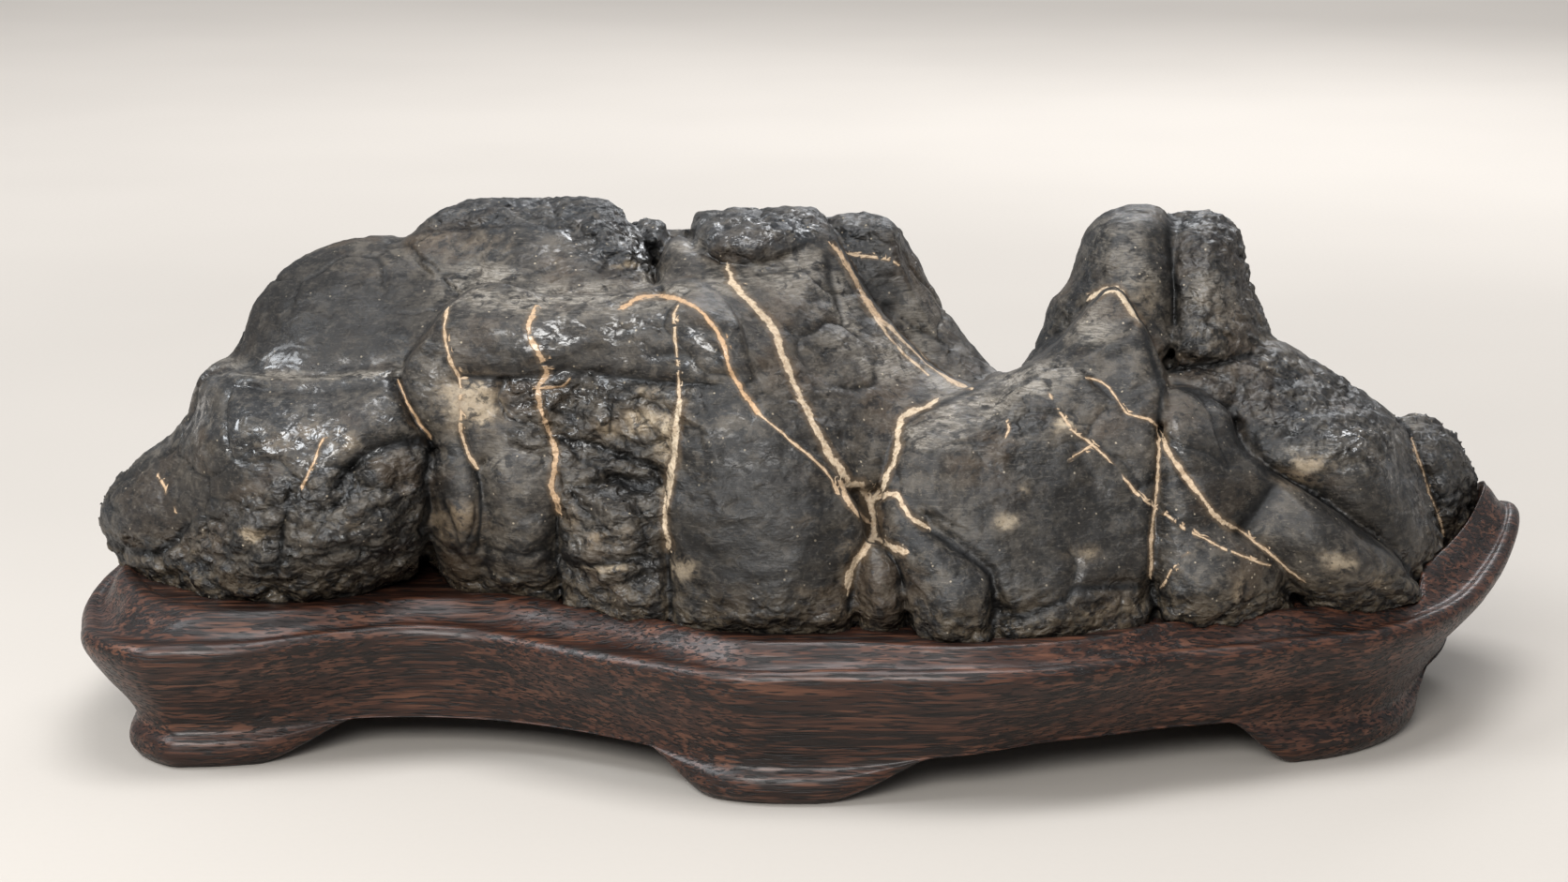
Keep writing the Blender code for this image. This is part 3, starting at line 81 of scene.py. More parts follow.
# Each lobe of the stone's front: picture points (right, down) with the depth in millimetres, first round its
# edge and then inside it, and how wide and how deep its edge rolls back.
LOBES = {
    "left_apron": ([(99, 553, -3), (106, 528, -3), (138, 493, -4), (182, 465, -6), (200, 442, -8),
        (207, 408, -10), (240, 398, -15), (290, 404, -20), (350, 405, -22), (400, 397, -23),
        (425, 388, -24), (440, 430, -28), (460, 465, -32), (463, 520, -34), (458, 570, -31),
        (442, 616, -22), (380, 645, -26), (300, 656, -29), (220, 652, -24), (156, 628, -14),
        (120, 598, -7)], [(200, 500, -18), (150, 545, -15), (180, 580, -20), (290, 418, -22),
        (270, 447, -29), (280, 500, -35), (270, 540, -38), (270, 600, -39), (380, 414, -25),
        (380, 447, -33), (400, 492, -38), (400, 565, -42), (340, 600, -42), (330, 480, -36),
        (230, 430, -17), (220, 470, -24)], (6, 3)),
    "left_dome": ([(207, 412, -8), (222, 392, -3), (250, 378, 0), (258, 350, 4), (272, 322, 7),
        (290, 296, 10), (315, 277, 13), (345, 263, 15), (375, 254, 16), (405, 251, 17), (430, 253, 17),
        (470, 268, 14), (500, 295, 4), (490, 335, -10), (455, 375, -18), (425, 412, -20),
        (350, 420, -17), (260, 415, -12)], [(300, 345, -3), (345, 305, 1), (350, 370, -12),
        (400, 290, 5), (420, 345, -8), (445, 285, 9), (280, 385, -9)], (5, 2)),
    "back_mound": ([(425, 257, 14), (446, 246, 14), (500, 243, 12), (560, 240, 10), (620, 243, 11),
        (680, 262, 9), (700, 292, 3), (690, 330, -14), (640, 336, -17), (580, 336, -16), (520, 325, -11),
        (470, 300, 1)], [(480, 272, 8), (530, 280, 1), (555, 252, 6), (600, 290, -5), (650, 290, -4),
        (500, 300, 0), (575, 265, 2)], (3, 1)),
    "back_cap": ([(436, 256, 15), (450, 236, 18), (475, 221, 21), (505, 213, 23), (540, 210, 24),
        (575, 216, 25), (600, 216, 25), (650, 225, 24), (668, 240, 18), (640, 256, 12), (560, 254, 11),
        (490, 260, 13)], [(530, 230, 15), (600, 232, 14), (480, 235, 16)], (3, 2)),
    "back_cap_end": ([(585, 220, 24), (600, 211, 25), (625, 209, 26), (650, 214, 25), (664, 226, 23),
        (676, 244, 19), (690, 262, 13), (696, 285, 7), (688, 306, 1), (655, 292, 0), (628, 276, 3),
        (612, 248, 10)], [(645, 248, 6), (665, 268, 1), (650, 275, 0), (635, 228, 16)], (4, 3)),
    "back_knob": ([(672, 250, 24), (680, 234, 27), (692, 231, 28), (706, 238, 27), (710, 252, 25),
        (704, 292, 18), (698, 312, 11), (690, 300, 10), (686, 270, 17)], [(692, 256, 15)], (4, 3)),
    "notch_floor": ([(700, 246, 38), (718, 241, 38), (742, 250, 38), (748, 300, 34), (715, 332, 30),
        (696, 328, 30)], [], (2, 1)),
    "spur": ([(697, 325, -15), (702, 288, -4), (710, 262, 3), (724, 253, 5), (745, 260, 2),
        (772, 284, -6), (795, 320, -20), (765, 350, -33), (710, 338, -26)], [(738, 290, -10),
        (725, 275, -4)], (4, 3)),
    "block_cap": ([(737, 252, 6), (738, 232, 10), (747, 224, 14), (800, 221, 16), (850, 221, 16),
        (872, 225, 14), (884, 240, 10), (882, 252, 4), (850, 264, -2), (820, 279, -7), (790, 285, -8),
        (765, 277, -5), (748, 264, 0)], [(800, 238, 2), (780, 262, -6), (840, 243, 2), (825, 262, -5),
        (760, 245, 2)], (3, 2.5)),
    "centre_fan": ([(762, 268, 4), (800, 256, 7), (850, 240, 8), (880, 238, 9), (897, 266, 6),
        (920, 310, 3), (945, 342, 0), (985, 385, -6), (1010, 402, -9), (1037, 414, -13),
        (1020, 428, -20), (985, 440, -26), (962, 455, -31), (948, 485, -38), (935, 522, -45),
        (905, 522, -49), (870, 488, -49), (820, 445, -47), (780, 415, -43), (752, 365, -38),
        (742, 325, -30)], [(850, 300, -9), (820, 345, -25), (880, 400, -28), (930, 385, -17),
        (965, 418, -19), (900, 450, -37), (930, 470, -35), (870, 340, -17), (800, 390, -39),
        (800, 290, -8)], (3, 1.2)),
    "back_peak": ([(876, 244, 33), (892, 231, 33), (925, 226, 33), (950, 233, 30), (966, 255, 28),
        (985, 290, 26), (1005, 325, 24), (1030, 360, 20), (1050, 384, 17), (1070, 402, 14),
        (1040, 425, 8), (990, 408, 14), (940, 355, 20), (900, 290, 26)], [(950, 250, 28), (957, 275, 27),
        (975, 320, 25), (1000, 360, 22), (1030, 395, 17), (925, 265, 29), (945, 300, 26)], (4, 3)),
    "front_lobe": ([(712, 672, -50), (716, 600, -51), (710, 540, -50), (712, 490, -46), (720, 430, -43),
        (770, 405, -42), (812, 440, -47), (870, 486, -50.5), (905, 521, -52), (919, 560, -54),
        (924, 600, -55), (914, 640, -56), (900, 700, -57), (820, 706, -58), (750, 694, -54)],
        [(800, 500, -52), (800, 590, -58), (860, 610, -59.5), (860, 545, -56), (750, 560, -54.5),
        (830, 645, -61), (770, 640, -58), (880, 520, -52.5), (760, 450, -46), (815, 465, -49.5)],
        (4, 2.5)),
    "core": ([(430, 400, -12), (700, 380, -18), (800, 420, -32), (880, 480, -38), (935, 500, -36),
        (960, 450, -20), (1060, 405, -4), (1230, 380, 0), (1330, 395, 2), (1460, 450, 6), (1500, 520, 2),
        (1530, 600, -2), (1500, 640, -14), (1390, 668, -26), (1240, 684, -38), (1060, 705, -50),
        (900, 705, -46), (740, 690, -38), (600, 655, -20), (440, 625, -12)], [(700, 540, -36),
        (930, 600, -44), (1240, 550, -34), (600, 540, -26), (500, 520, -22)], (2, 1)),
    "front_wall": ([(425, 398, -27), (450, 366, -26), (475, 330, -26), (505, 306, -26), (540, 302, -26),
        (570, 314, -27), (610, 318, -27), (660, 316, -28), (700, 306, -30), (735, 296, -33),
        (770, 315, -35), (790, 350, -38), (812, 440, -46), (770, 452, -45), (722, 510, -44),
        (650, 510, -39), (600, 505, -37), (520, 490, -33), (460, 480, -32), (440, 430, -30)],
        [(500, 342, -27), (560, 343, -28), (633, 334, -29), (722, 328, -34), (560, 372, -30.5),
        (640, 370, -31), (700, 370, -35), (560, 402, -30), (640, 402, -31), (700, 402, -36),
        (480, 400, -29), (510, 450, -31), (745, 400, -40), (620, 450, -33), (680, 460, -38)], (3, 1.2)),
    "pillar_left": ([(461, 478, -30), (500, 470, -32), (520, 505, -34), (520, 590, -33), (510, 628, -28),
        (470, 622, -22), (458, 565, -28)], [(488, 530, -37), (490, 580, -36)], (3, 2)),
    "pillar_mid": ([(510, 495, -33), (560, 474, -33), (592, 490, -35), (600, 540, -37), (600, 600, -36),
        (598, 658, -31), (560, 652, -28), (512, 628, -28), (508, 560, -33)], [(550, 530, -39),
        (560, 590, -40), (535, 500, -37)], (4, 2.5)),
    "pillar_right": ([(590, 490, -35), (640, 480, -36), (704, 496, -42), (712, 550, -46),
        (716, 610, -48), (714, 686, -47), (650, 674, -41), (598, 656, -34)], [(650, 540, -45),
        (655, 600, -49), (618, 580, -42), (690, 640, -50)], (3, 2)),
    "low_ledge": ([(470, 596, -24), (520, 590, -28), (590, 600, -32), (600, 656, -32), (560, 654, -28),
        (480, 638, -19)], [(530, 615, -30)], (3, 2)),
    "toe_small": ([(906, 612, -50), (914, 592, -53), (930, 577, -53), (950, 594, -55), (963, 630, -56),
        (962, 680, -54), (915, 684, -50)], [(934, 618, -59), (940, 650, -59)], (3, 2)),
    "toe_large": ([(930, 545, -46), (944, 528, -46), (962, 530, -49), (985, 556, -53), (1030, 588, -57),
        (1055, 606, -59), (1062, 650, -63), (1060, 708, -61), (1020, 712, -62), (985, 700, -58),
        (966, 640, -57), (950, 592, -54)], [(985, 595, -59), (1025, 640, -65), (955, 560, -52),
        (1000, 670, -64)], (4, 2)),
    "right_slab": ([(936, 528, -45), (945, 490, -41), (956, 455, -38), (1000, 430, -36),
        (1040, 411, -33), (1070, 401, -30), (1110, 394, -27), (1143, 386, -25), (1165, 400, -28),
        (1200, 425, -32), (1238, 450, -36), (1241, 520, -43), (1236, 600, -48), (1234, 682, -50),
        (1180, 696, -54), (1110, 706, -58), (1056, 710, -60), (1050, 604, -57), (1000, 570, -53),
        (960, 532, -48)], [(985, 480, -44), (1010, 472, -43), (1050, 457, -40), (1075, 440, -36.5),
        (1085, 420, -33), (1110, 402, -28.5), (1030, 520, -48), (1110, 520, -47), (1110, 605, -55),
        (1180, 480, -40), (1180, 560, -47), (1190, 630, -53), (1060, 565, -53), (1110, 450, -38.5),
        (1120, 655, -60)], (4, 2)),
    "pyramid": ([(1060, 402, -27), (1098, 388, -25), (1125, 376, -23), (1160, 355, -20),
        (1195, 335, -18), (1212, 338, -18), (1228, 365, -22), (1240, 395, -26), (1246, 420, -31),
        (1240, 458, -37), (1200, 452, -37), (1160, 424, -32), (1110, 408, -30)], [(1200, 365, -21),
        (1170, 374, -23), (1143, 390, -26), (1190, 400, -27), (1215, 410, -29)], (3, 1.2)),
    "pyramid_top": ([(1046, 404, -10), (1098, 391, -13), (1125, 371, -14), (1150, 344, -13),
        (1178, 311, -11), (1193, 309, -11), (1214, 340, -15), (1206, 353, -18), (1170, 368, -19),
        (1140, 380, -20), (1110, 396, -20), (1070, 408, -16)], [(1185, 345, -15.5), (1160, 358, -16.5)],
        (3, 1.2)),
    "right_peak": ([(1090, 394, 4), (1108, 362, 9), (1116, 342, 11), (1119, 322, 12), (1140, 300, 14),
        (1148, 270, 16), (1155, 245, 18), (1175, 225, 20), (1205, 215, 21), (1235, 218, 21),
        (1252, 232, 19), (1258, 280, 11), (1256, 340, 2), (1242, 390, -10), (1200, 385, -8),
        (1150, 392, -4)], [(1200, 250, 7), (1205, 310, -2), (1165, 320, 3), (1225, 290, 1),
        (1232, 350, -5), (1180, 240, 11)], (4, 3)),
    "right_peak_horn": ([(1250, 240, 22), (1262, 228, 24), (1290, 222, 25), (1310, 230, 24),
        (1325, 250, 22), (1332, 280, 20), (1341, 320, 16), (1357, 358, 9), (1345, 388, -3),
        (1300, 397, -10), (1256, 402, -12), (1248, 340, 0), (1250, 280, 10)], [(1290, 262, 10),
        (1288, 320, 0), (1322, 340, 4), (1285, 372, -9), (1310, 290, 9)], (4, 3)),
    "right_saddle": ([(1245, 392, -9), (1300, 384, -7), (1345, 372, 0), (1360, 360, 8), (1400, 386, 8),
        (1440, 409, 6), (1468, 428, 4), (1492, 450, 0), (1480, 472, -10), (1420, 458, -17),
        (1350, 456, -19), (1310, 444, -20), (1270, 428, -18), (1250, 415, -17)], [(1320, 410, -12),
        (1400, 420, -9), (1280, 405, -12)], (3, 2)),
    "right_swirl": ([(1320, 476, -22), (1325, 444, -18), (1400, 436, -15), (1470, 438, -5),
        (1495, 455, 2), (1512, 500, 2), (1532, 550, 0), (1547, 612, -4), (1532, 640, -14),
        (1500, 606, -25), (1460, 575, -29), (1410, 536, -29), (1360, 510, -28), (1335, 494, -25)],
        [(1395, 478, -27), (1455, 466, -21), (1475, 505, -24), (1500, 540, -20), (1520, 585, -17),
        (1350, 470, -24), (1420, 510, -29)], (4, 3)),
    "right_flow": ([(1244, 412, -26), (1270, 414, -24), (1300, 430, -23), (1314, 446, -25),
        (1322, 478, -30), (1360, 508, -33), (1410, 536, -36), (1460, 572, -37), (1500, 602, -35),
        (1524, 650, -29), (1480, 664, -31), (1430, 670, -34), (1390, 650, -38), (1360, 596, -41),
        (1300, 566, -45), (1262, 512, -43), (1238, 458, -38)], [(1280, 465, -36), (1300, 510, -41),
        (1340, 545, -39), (1400, 570, -44), (1450, 612, -45)], (4, 3)),
    "right_toe": ([(1236, 458, -37), (1262, 508, -43), (1300, 562, -46), (1365, 598, -43),
        (1388, 672, -37), (1340, 682, -42), (1280, 690, -47), (1238, 692, -48), (1234, 600, -48),
        (1235, 520, -43)], [(1275, 590, -49), (1310, 630, -53), (1262, 545, -46), (1265, 640, -53)],
        (4, 2.5)),
    "far_lobe": ([(1480, 450, 20), (1495, 442, 23), (1520, 440, 26), (1545, 453, 27), (1565, 478, 27),
        (1578, 510, 26), (1576, 545, 22), (1560, 600, 14), (1530, 625, 8), (1500, 520, 10)],
        [(1530, 490, 12), (1545, 540, 10)], (5, 4)),
}

# Flat or softly bent sheets that cut a lobe back, so that it meets them in a sharp edge: the lobe, and
# picture points with the depth in millimetres.
FACETS = {
    "shelf_top": ("front_wall", [(475, 345, -26), (520, 343, -27), (560, 343, -28), (600, 338, -28.5),
        (633, 334, -29), (690, 332, -31), (722, 328, -34), (755, 340, -37), (488, 312, -14),
        (510, 303, -12), (530, 301, -12), (570, 316, -18), (610, 319, -19), (660, 317, -19),
        (700, 308, -18), (735, 296, -16), (775, 312, -22), (600, 370, -52), (700, 370, -54),
        (500, 370, -44), (440, 380, -34), (790, 350, -38)]),
    "peak_side": ("back_peak", [(950, 235, 30), (957, 275, 27), (975, 320, 25), (1000, 360, 22),
        (1030, 395, 17), (966, 255, 36), (985, 290, 35), (1005, 325, 33), (1030, 360, 29),
        (1050, 384, 24), (1070, 402, 19), (920, 265, 8), (940, 330, 5)]),
    "lobe_foot": ("front_lobe", [(715, 655, -53), (770, 655, -59), (830, 658, -61), (880, 655, -60),
        (914, 645, -57), (750, 694, -49), (820, 706, -50), (900, 700, -50), (800, 600, -82)]),
    "slab_light": ("right_slab", [(942, 500, -43), (962, 488, -43.5), (985, 480, -44), (1010, 472, -43),
        (1050, 457, -40), (1075, 440, -36.5), (1085, 420, -33), (1110, 402, -28.5), (1143, 388, -25.5),
        (956, 455, -32), (1000, 430, -25), (1040, 411, -18), (1070, 401, -14), (1100, 393, -15),
        (1125, 384, -18), (1050, 510, -64), (1110, 450, -56), (1170, 440, -52), (1200, 400, -40)]),
    "pyramid_ledge": ("pyramid", [(1212, 346, -19), (1200, 365, -21.5), (1170, 374, -23),
        (1143, 390, -26), (1110, 402, -28.5), (1206, 344, -15), (1180, 358, -17), (1150, 371, -18),
        (1120, 384, -19), (1090, 393, -17), (1060, 402, -14), (1190, 400, -42), (1230, 365, -30)]),
}

# The stone's whole outline in the picture. Where no lobe covers it, a filling lies behind the front.
OUTLINE = [
    (132, 592), (116, 568), (111, 553), (116, 535), (136, 508), (164, 486), (184, 468), (200, 435),
    (207, 412), (217, 394), (247, 378), (259, 354), (270, 330), (292, 301), (314, 282), (345, 268),
    (400, 257), (430, 257), (455, 237), (477, 222), (505, 214), (550, 211), (600, 212), (630, 211),
    (650, 216), (670, 236), (690, 233), (705, 235), (713, 246), (738, 243), (741, 227), (780, 222),
    (865, 222), (882, 232), (900, 228), (940, 228), (962, 246), (975, 270), (1003, 322), (1035, 367),
    (1063, 397), (1085, 394), (1102, 377), (1118, 335), (1137, 303), (1147, 287), (1155, 250),
    (1180, 223), (1215, 215), (1250, 226), (1290, 222), (1322, 250), (1335, 300), (1353, 353),
    (1383, 385), (1440, 408), (1482, 442), (1530, 445), (1562, 475), (1576, 508), (1574, 540),
    (1557, 575), (1530, 650), (1390, 675), (1240, 695), (1060, 712), (900, 705), (740, 694), (600, 660),
    (440, 625), (380, 645), (220, 652), (150, 625),
]
FILLING_MM = 16.0

# The sheet that closes the stone behind: picture points with the depth in millimetres.
BACK_SHEET = [
    (104, 552, 0), (140, 500, 4), (200, 440, 6), (258, 350, 14), (345, 263, 30), (450, 236, 40),
    (560, 210, 46), (650, 217, 46), (700, 232, 44), (745, 224, 36), (810, 221, 38), (875, 228, 46),
    (925, 226, 52), (966, 255, 53), (1005, 325, 50), (1070, 398, 38), (1119, 322, 32), (1150, 260, 38),
    (1205, 215, 42), (1290, 222, 44), (1335, 290, 38), (1363, 370, 32), (1440, 408, 28), (1492, 445, 34),
    (1540, 450, 40), (1576, 510, 38), (1556, 590, 28), (160, 560, 18), (200, 520, 26), (300, 450, 38),
    (300, 560, 41), (450, 400, 51), (450, 560, 54), (600, 350, 55), (600, 500, 58), (800, 350, 52),
    (800, 500, 61), (950, 400, 61), (1000, 500, 60), (1080, 470, 46), (1080, 560, 54), (1200, 350, 49),
    (1200, 500, 58), (1300, 400, 49), (1350, 500, 54), (1450, 520, 43), (1150, 620, 59), (850, 640, 62),
    (550, 620, 57), (300, 620, 40), (1450, 620, 42), (700, 430, 54), (520, 300, 52),
]
BACK_ROLL_MM = 15.0


# Picture points are scaled down by this before a sheet is worked out.
PEG_SCALE = 100


def thin_plate(points, heights, at):
    """A smooth sheet through the given heights, read at other points."""
    def bend(a, b):
        gap = ((a[:, None] - b[None]) ** 2).sum(-1)
        return gap * np.log(gap + 1e-12)

    size = len(points)
    system = np.zeros((size + 3, size + 3))
    system[:size, :size] = bend(points, points)
    system[:size, size:] = np.c_[np.ones(size), points]
    system[size:, :size] = system[:size, size:].T
    weights = np.linalg.solve(system, np.r_[heights, 0, 0, 0])
    return bend(at, points) @ weights[:size] + np.c_[np.ones(len(at)), at] @ weights[size:]


def sheet_through(pegs, at):
    """The depth at picture points of a smooth sheet through pegs, each a picture point with its depth."""
    return thin_plate(pegs[:, :2] / PEG_SCALE, pegs[:, 2], at / PEG_SCALE)


def offsets(a, b, at):
    """The way from the nearest place on a straight piece to each point."""
    step = b - a
    along = np.clip(((at - a) @ step) / (step @ step), 0, 1)
    return at - a - along[:, None] * step


def line_distance(line, at):
    """How far points lie from an open line."""
    nearest = np.full(len(at), np.inf)
    for a, b in zip(line[:-1], line[1:]):
        nearest = np.minimum(nearest, np.linalg.norm(offsets(a, b, at), axis=1))
    return nearest


def within(at, outline, margin=0):
    """Whether points lie in the box round an outline or line."""
    return ((at > outline.min(0) - margin) & (at < outline.max(0) + margin)).all(1)


def inside_distance(outline, at):
    """How far points lie inside a closed outline, negative outside it."""
    nearest = line_distance(np.vstack([outline, outline[:1]]), at)
    inside = np.zeros(len(at), bool)
    for a, b in zip(outline, np.roll(outline, -1, axis=0)):
        if a[1] != b[1]:
            crosses = (a[1] > at[:, 1]) != (b[1] > at[:, 1])
            inside ^= crosses & (at[:, 0] < a[0] + (at[:, 1] - a[1]) / (b[1] - a[1]) * (b[0] - a[0]))
    return np.where(inside, nearest, -nearest)


def smooth_outline(points, rounds=2):
    """Cuts the corners of a closed outline."""
    for _ in range(rounds):
        after = np.roll(points, -1, axis=0)
        corners = [0.75 * points + 0.25 * after, 0.25 * points + 0.75 * after]
        points = np.stack(corners, 1).reshape(-1, points.shape[1])
    return points


# Millimetres to a picture point at the stone, and the part of the picture that it covers.
PX_MM = 0.2211
GRID_PX = (90, 1600, 200, 715)


def rolled_back(share):
    """How far a rounded edge has dropped away: all at the edge, nothing from a share of one inwards."""
    lean = 1 - np.clip(share, 0, 1)
    return 1 - np.sqrt(1 - lean**2 * 0.999)


def relief(at):
    """The depth of the stone's front at picture points, infinite where it has none."""
    depth = np.full(len(at), np.inf)
    for name, (edge, inner, (width, drop)) in LOBES.items():
        pegs = np.array(edge + inner, float)
        outline = smooth_outline(np.array(edge, float)[:, :2])
        near = np.flatnonzero(within(at, outline))
        inset = inside_distance(outline, at[near]) * PX_MM
        near, inset = near[inset > 0], inset[inset > 0]
        sheet = sheet_through(pegs, at[near])
        for lobe, cut in FACETS.values():
            if lobe == name:
                sheet = np.maximum(sheet, sheet_through(np.array(cut, float), at[near]))
        sheet += drop * rolled_back(inset / width)
        depth[near] = np.minimum(depth[near], sheet)
    return depth


def picture_grid(step):
    xs = np.arange(GRID_PX[0], GRID_PX[1], step)
    ys = np.arange(GRID_PX[2], GRID_PX[3], step)
    return np.stack(np.meshgrid(xs, ys), -1).astype(float)


# How far the silhouette rolls back, and between which places across the picture the stone stands on its
# foot.
SILHOUETTE_ROLL_MM = 7.0
FOOT_PX = (150, 1535)

# Cracks and sharp folds in the stone's front: picture points, then how wide and how deep each runs. A
# negative depth stands proud.
STROKES = {
    "left_block_crack": ([(423, 408), (440, 447), (460, 468), (453, 505), (458, 545), (448, 565)], 1.2,
        4.0),
    "arch_underside": ([(457, 470), (430, 472), (405, 479), (385, 489), (368, 505), (360, 520)], 2.0,
        4.2),
    "toe_crack": ([(308, 517), (310, 530), (302, 557), (300, 580), (295, 612)], 1.1, 3.0),
    "toe_ledge": ([(118, 578), (140, 588), (167, 590), (187, 577), (200, 560)], 1.6, 2.8),
    "bowl_rim": ([(235, 392), (283, 403), (345, 405), (395, 398), (425, 388)], 1.4, -1.6),
    "under_rim": ([(255, 412), (300, 418), (345, 419), (395, 412), (420, 402)], 2.4, 1.3),
    "wall_crack": ([(490, 402), (540, 404), (575, 403), (600, 396), (650, 401), (700, 408), (763, 413)],
        1.2, 2.4),
    "pit_ledge": ([(587, 467), (633, 475), (660, 485), (700, 500)], 1.4, 3.0),
    "recess": ([(655, 510), (680, 520), (704, 514)], 2.4, 4.5),
    "pillar_waist": ([(600, 595), (630, 603), (660, 600), (693, 593)], 1.2, 2.2),
    "fan_left": ([(740, 322), (763, 352), (775, 382), (793, 422), (830, 458), (873, 493)], 1.3, -1.0),
    "fan_right": ([(890, 262), (905, 285), (923, 322), (955, 355), (985, 383), (1030, 412)], 1.2, 1.6),
    "dark_strip": ([(882, 275), (884, 300), (895, 330)], 1.6, 1.8),
    "valley": ([(935, 524), (948, 490), (958, 458), (985, 438), (1020, 425), (1050, 408)], 1.2, 2.0),
    "pyramid_crease": ([(1220, 350), (1226, 376), (1239, 413), (1235, 453)], 1.2, 2.4),
    "pyramid_foot": ([(1165, 405), (1185, 415), (1200, 440), (1222, 446)], 1.0, 1.6),
    "peak_split": ([(1248, 226), (1245, 262), (1252, 300), (1253, 345)], 1.3, 4.0),
    "wet_crevice": ([(1245, 395), (1280, 390), (1307, 387), (1334, 378)], 1.3, 3.6),
    "swirl_pocket": ([(1255, 410), (1290, 427), (1317, 437), (1314, 458), (1328, 484)], 1.5, 4.4),
    "flow_crack": ([(1343, 498), (1390, 520), (1420, 542), (1457, 572), (1490, 595), (1512, 622)], 1.2,
        3.6),
    "flow_trough": ([(1356, 522), (1340, 545), (1322, 566)], 3.0, 2.4),
    "slab_ledge": ([(1063, 655), (1090, 658), (1113, 650), (1137, 640), (1145, 628), (1215, 625)], 1.3,
        2.4),
    "vertical_cleft": ([(1235, 458), (1235, 500), (1229, 567), (1228, 628), (1232, 660)], 1.1, 2.6),
    "toe_split": ([(987, 563), (1030, 593), (1056, 612), (1062, 650), (1058, 680)], 1.1, 3.4),
    "junction": ([(900, 518), (923, 523), (932, 560), (912, 600), (905, 650)], 1.4, 3.0),
}

# Finer cracks and folds, which only this fuller surface carries.
FINE_STROKES = {
    "pillar_gap_left": ([(493, 463), (500, 485), (507, 500), (512, 518), (513, 540), (512, 560),
        (508, 590)], 0.6, 3.0),
    "pillar_gap_mid": ([(594, 545), (594, 590), (597, 615), (599, 640)], 0.8, 5.0),
    "pillar_gap_right": ([(711, 580), (713, 610), (716, 655)], 0.9, 5.0),
    "small_toes": ([(516, 580), (535, 588), (563, 593), (590, 580)], 0.7, 2.0),
    "junction_black": ([(941, 580), (950, 595), (958, 603), (964, 625)], 0.7, 3.5),
    "far_lobe_gap": ([(1482, 442), (1500, 456), (1513, 482), (1525, 515), (1537, 560), (1546, 592)], 1.0,
        4.0),
    "flow_fold": ([(1245, 415), (1270, 420), (1297, 433), (1315, 480), (1345, 510), (1375, 530),
        (1400, 555)], 1.2, -1.0),
    "right_ridge": ([(1440, 430), (1470, 440), (1493, 460), (1503, 483), (1515, 507), (1527, 540),
        (1535, 563)], 1.2, -1.2),
    "foot_gap_right": ([(1228, 625), (1230, 640), (1232, 668)], 1.5, 5.0),
    "foot_gap_far": ([(1367, 628), (1385, 640), (1402, 655)], 1.2, 4.0),
    "end_gap": ([(1518, 600), (1532, 612), (1545, 624)], 1.4, 4.0),
    "peak_nicks": ([(1119, 325), (1131, 332), (1138, 348)], 0.8, 1.6),
    "cap_seam": ([(440, 250), (470, 245), (520, 243), (560, 241), (602, 244)], 0.8, 1.6),
    "cap_cleft": ([(583, 214), (598, 233), (612, 247)], 0.8, 1.8),
    "notch": ([(687, 248), (694, 275), (701, 300), (706, 316)], 1.8, 7.0),
    "block_side": ([(738, 235), (739, 262)], 0.9, 2.0),
    "block_edge": ([(745, 263), (768, 281), (792, 280), (818, 272), (838, 256), (870, 249)], 0.7, 1.3),
    "peak_facet": ([(950, 235), (957, 275), (975, 320), (1000, 360), (1030, 395)], 1.0, -0.9),
    "toe_ring": ([(205, 556), (222, 551), (243, 560), (250, 577), (243, 594), (222, 602)], 0.8, 1.5),
    "low_face_a": ([(318, 522), (335, 505), (356, 498), (378, 500)], 0.9, 2.2),
    "low_face_b": ([(322, 600), (352, 590), (380, 584), (412, 590)], 0.9, 1.8),
    "low_face_c": ([(372, 500), (376, 515), (370, 530), (352, 545)], 1.1, 2.6),
    "low_face_d": ([(262, 590), (280, 575), (300, 570)], 0.8, 1.5),
    "low_face_e": ([(390, 545), (415, 540), (440, 548)], 0.9, 1.6),
    "mid_face_a": ([(605, 470), (618, 490), (640, 500), (652, 512)], 0.9, 2.2),
    "mid_face_b": ([(640, 420), (652, 440), (650, 462)], 0.9, 1.8),
    "mid_face_c": ([(690, 415), (676, 430), (690, 452), (704, 470)], 0.8, 1.6),
    "mid_face_d": ([(540, 405), (530, 425), (540, 445), (560, 452)], 0.9, 1.8),
    "slab_hook": ([(1141, 590), (1150, 606), (1143, 622)], 0.8, 1.6),
    "fan_shelf": ([(770, 408), (800, 396), (828, 392)], 1.0, 1.0),
    "fan_fold_a": ([(905, 300), (925, 345), (960, 390), (1000, 420)], 1.4, -0.7),
    "fan_fold_b": ([(860, 300), (885, 350), (915, 400), (950, 440)], 2.0, -0.9),
    "fan_fold_c": ([(845, 360), (865, 405), (890, 450)], 2.2, 1.0),
    "lobe_fold": ([(735, 445), (760, 470), (770, 520), (760, 570)], 2.5, -1.2),
    "slab_fold": ([(1000, 480), (990, 520), (1010, 560)], 2.0, -0.8),
    "toe_step": ([(970, 610), (1000, 618), (1040, 612)], 1.0, 1.0),
}

ALL_STROKES = [*STROKES.values(), *FINE_STROKES.values()]

# Wrinkled parts of the stone: outline in the picture, how far they rise and how large their knobs are.
KNOBBLY = {
    "left_cap": ([(440, 262), (446, 238), (500, 208), (600, 205), (670, 215), (715, 240), (700, 310),
        (640, 290), (600, 246), (520, 242)], 1.5, 3.6),
    "block_cap": ([(734, 222), (880, 216), (888, 245), (870, 250), (790, 284), (760, 275), (736, 240)],
        1.1, 3.4),
    "horn": ([(1250, 220), (1330, 220), (1362, 370), (1440, 400), (1490, 450), (1480, 520), (1400, 480),
        (1300, 432), (1250, 390)], 1.3, 4.2),
    "far_lobe": ([(1480, 430), (1590, 430), (1590, 600), (1520, 600)], 1.2, 4.0),
}

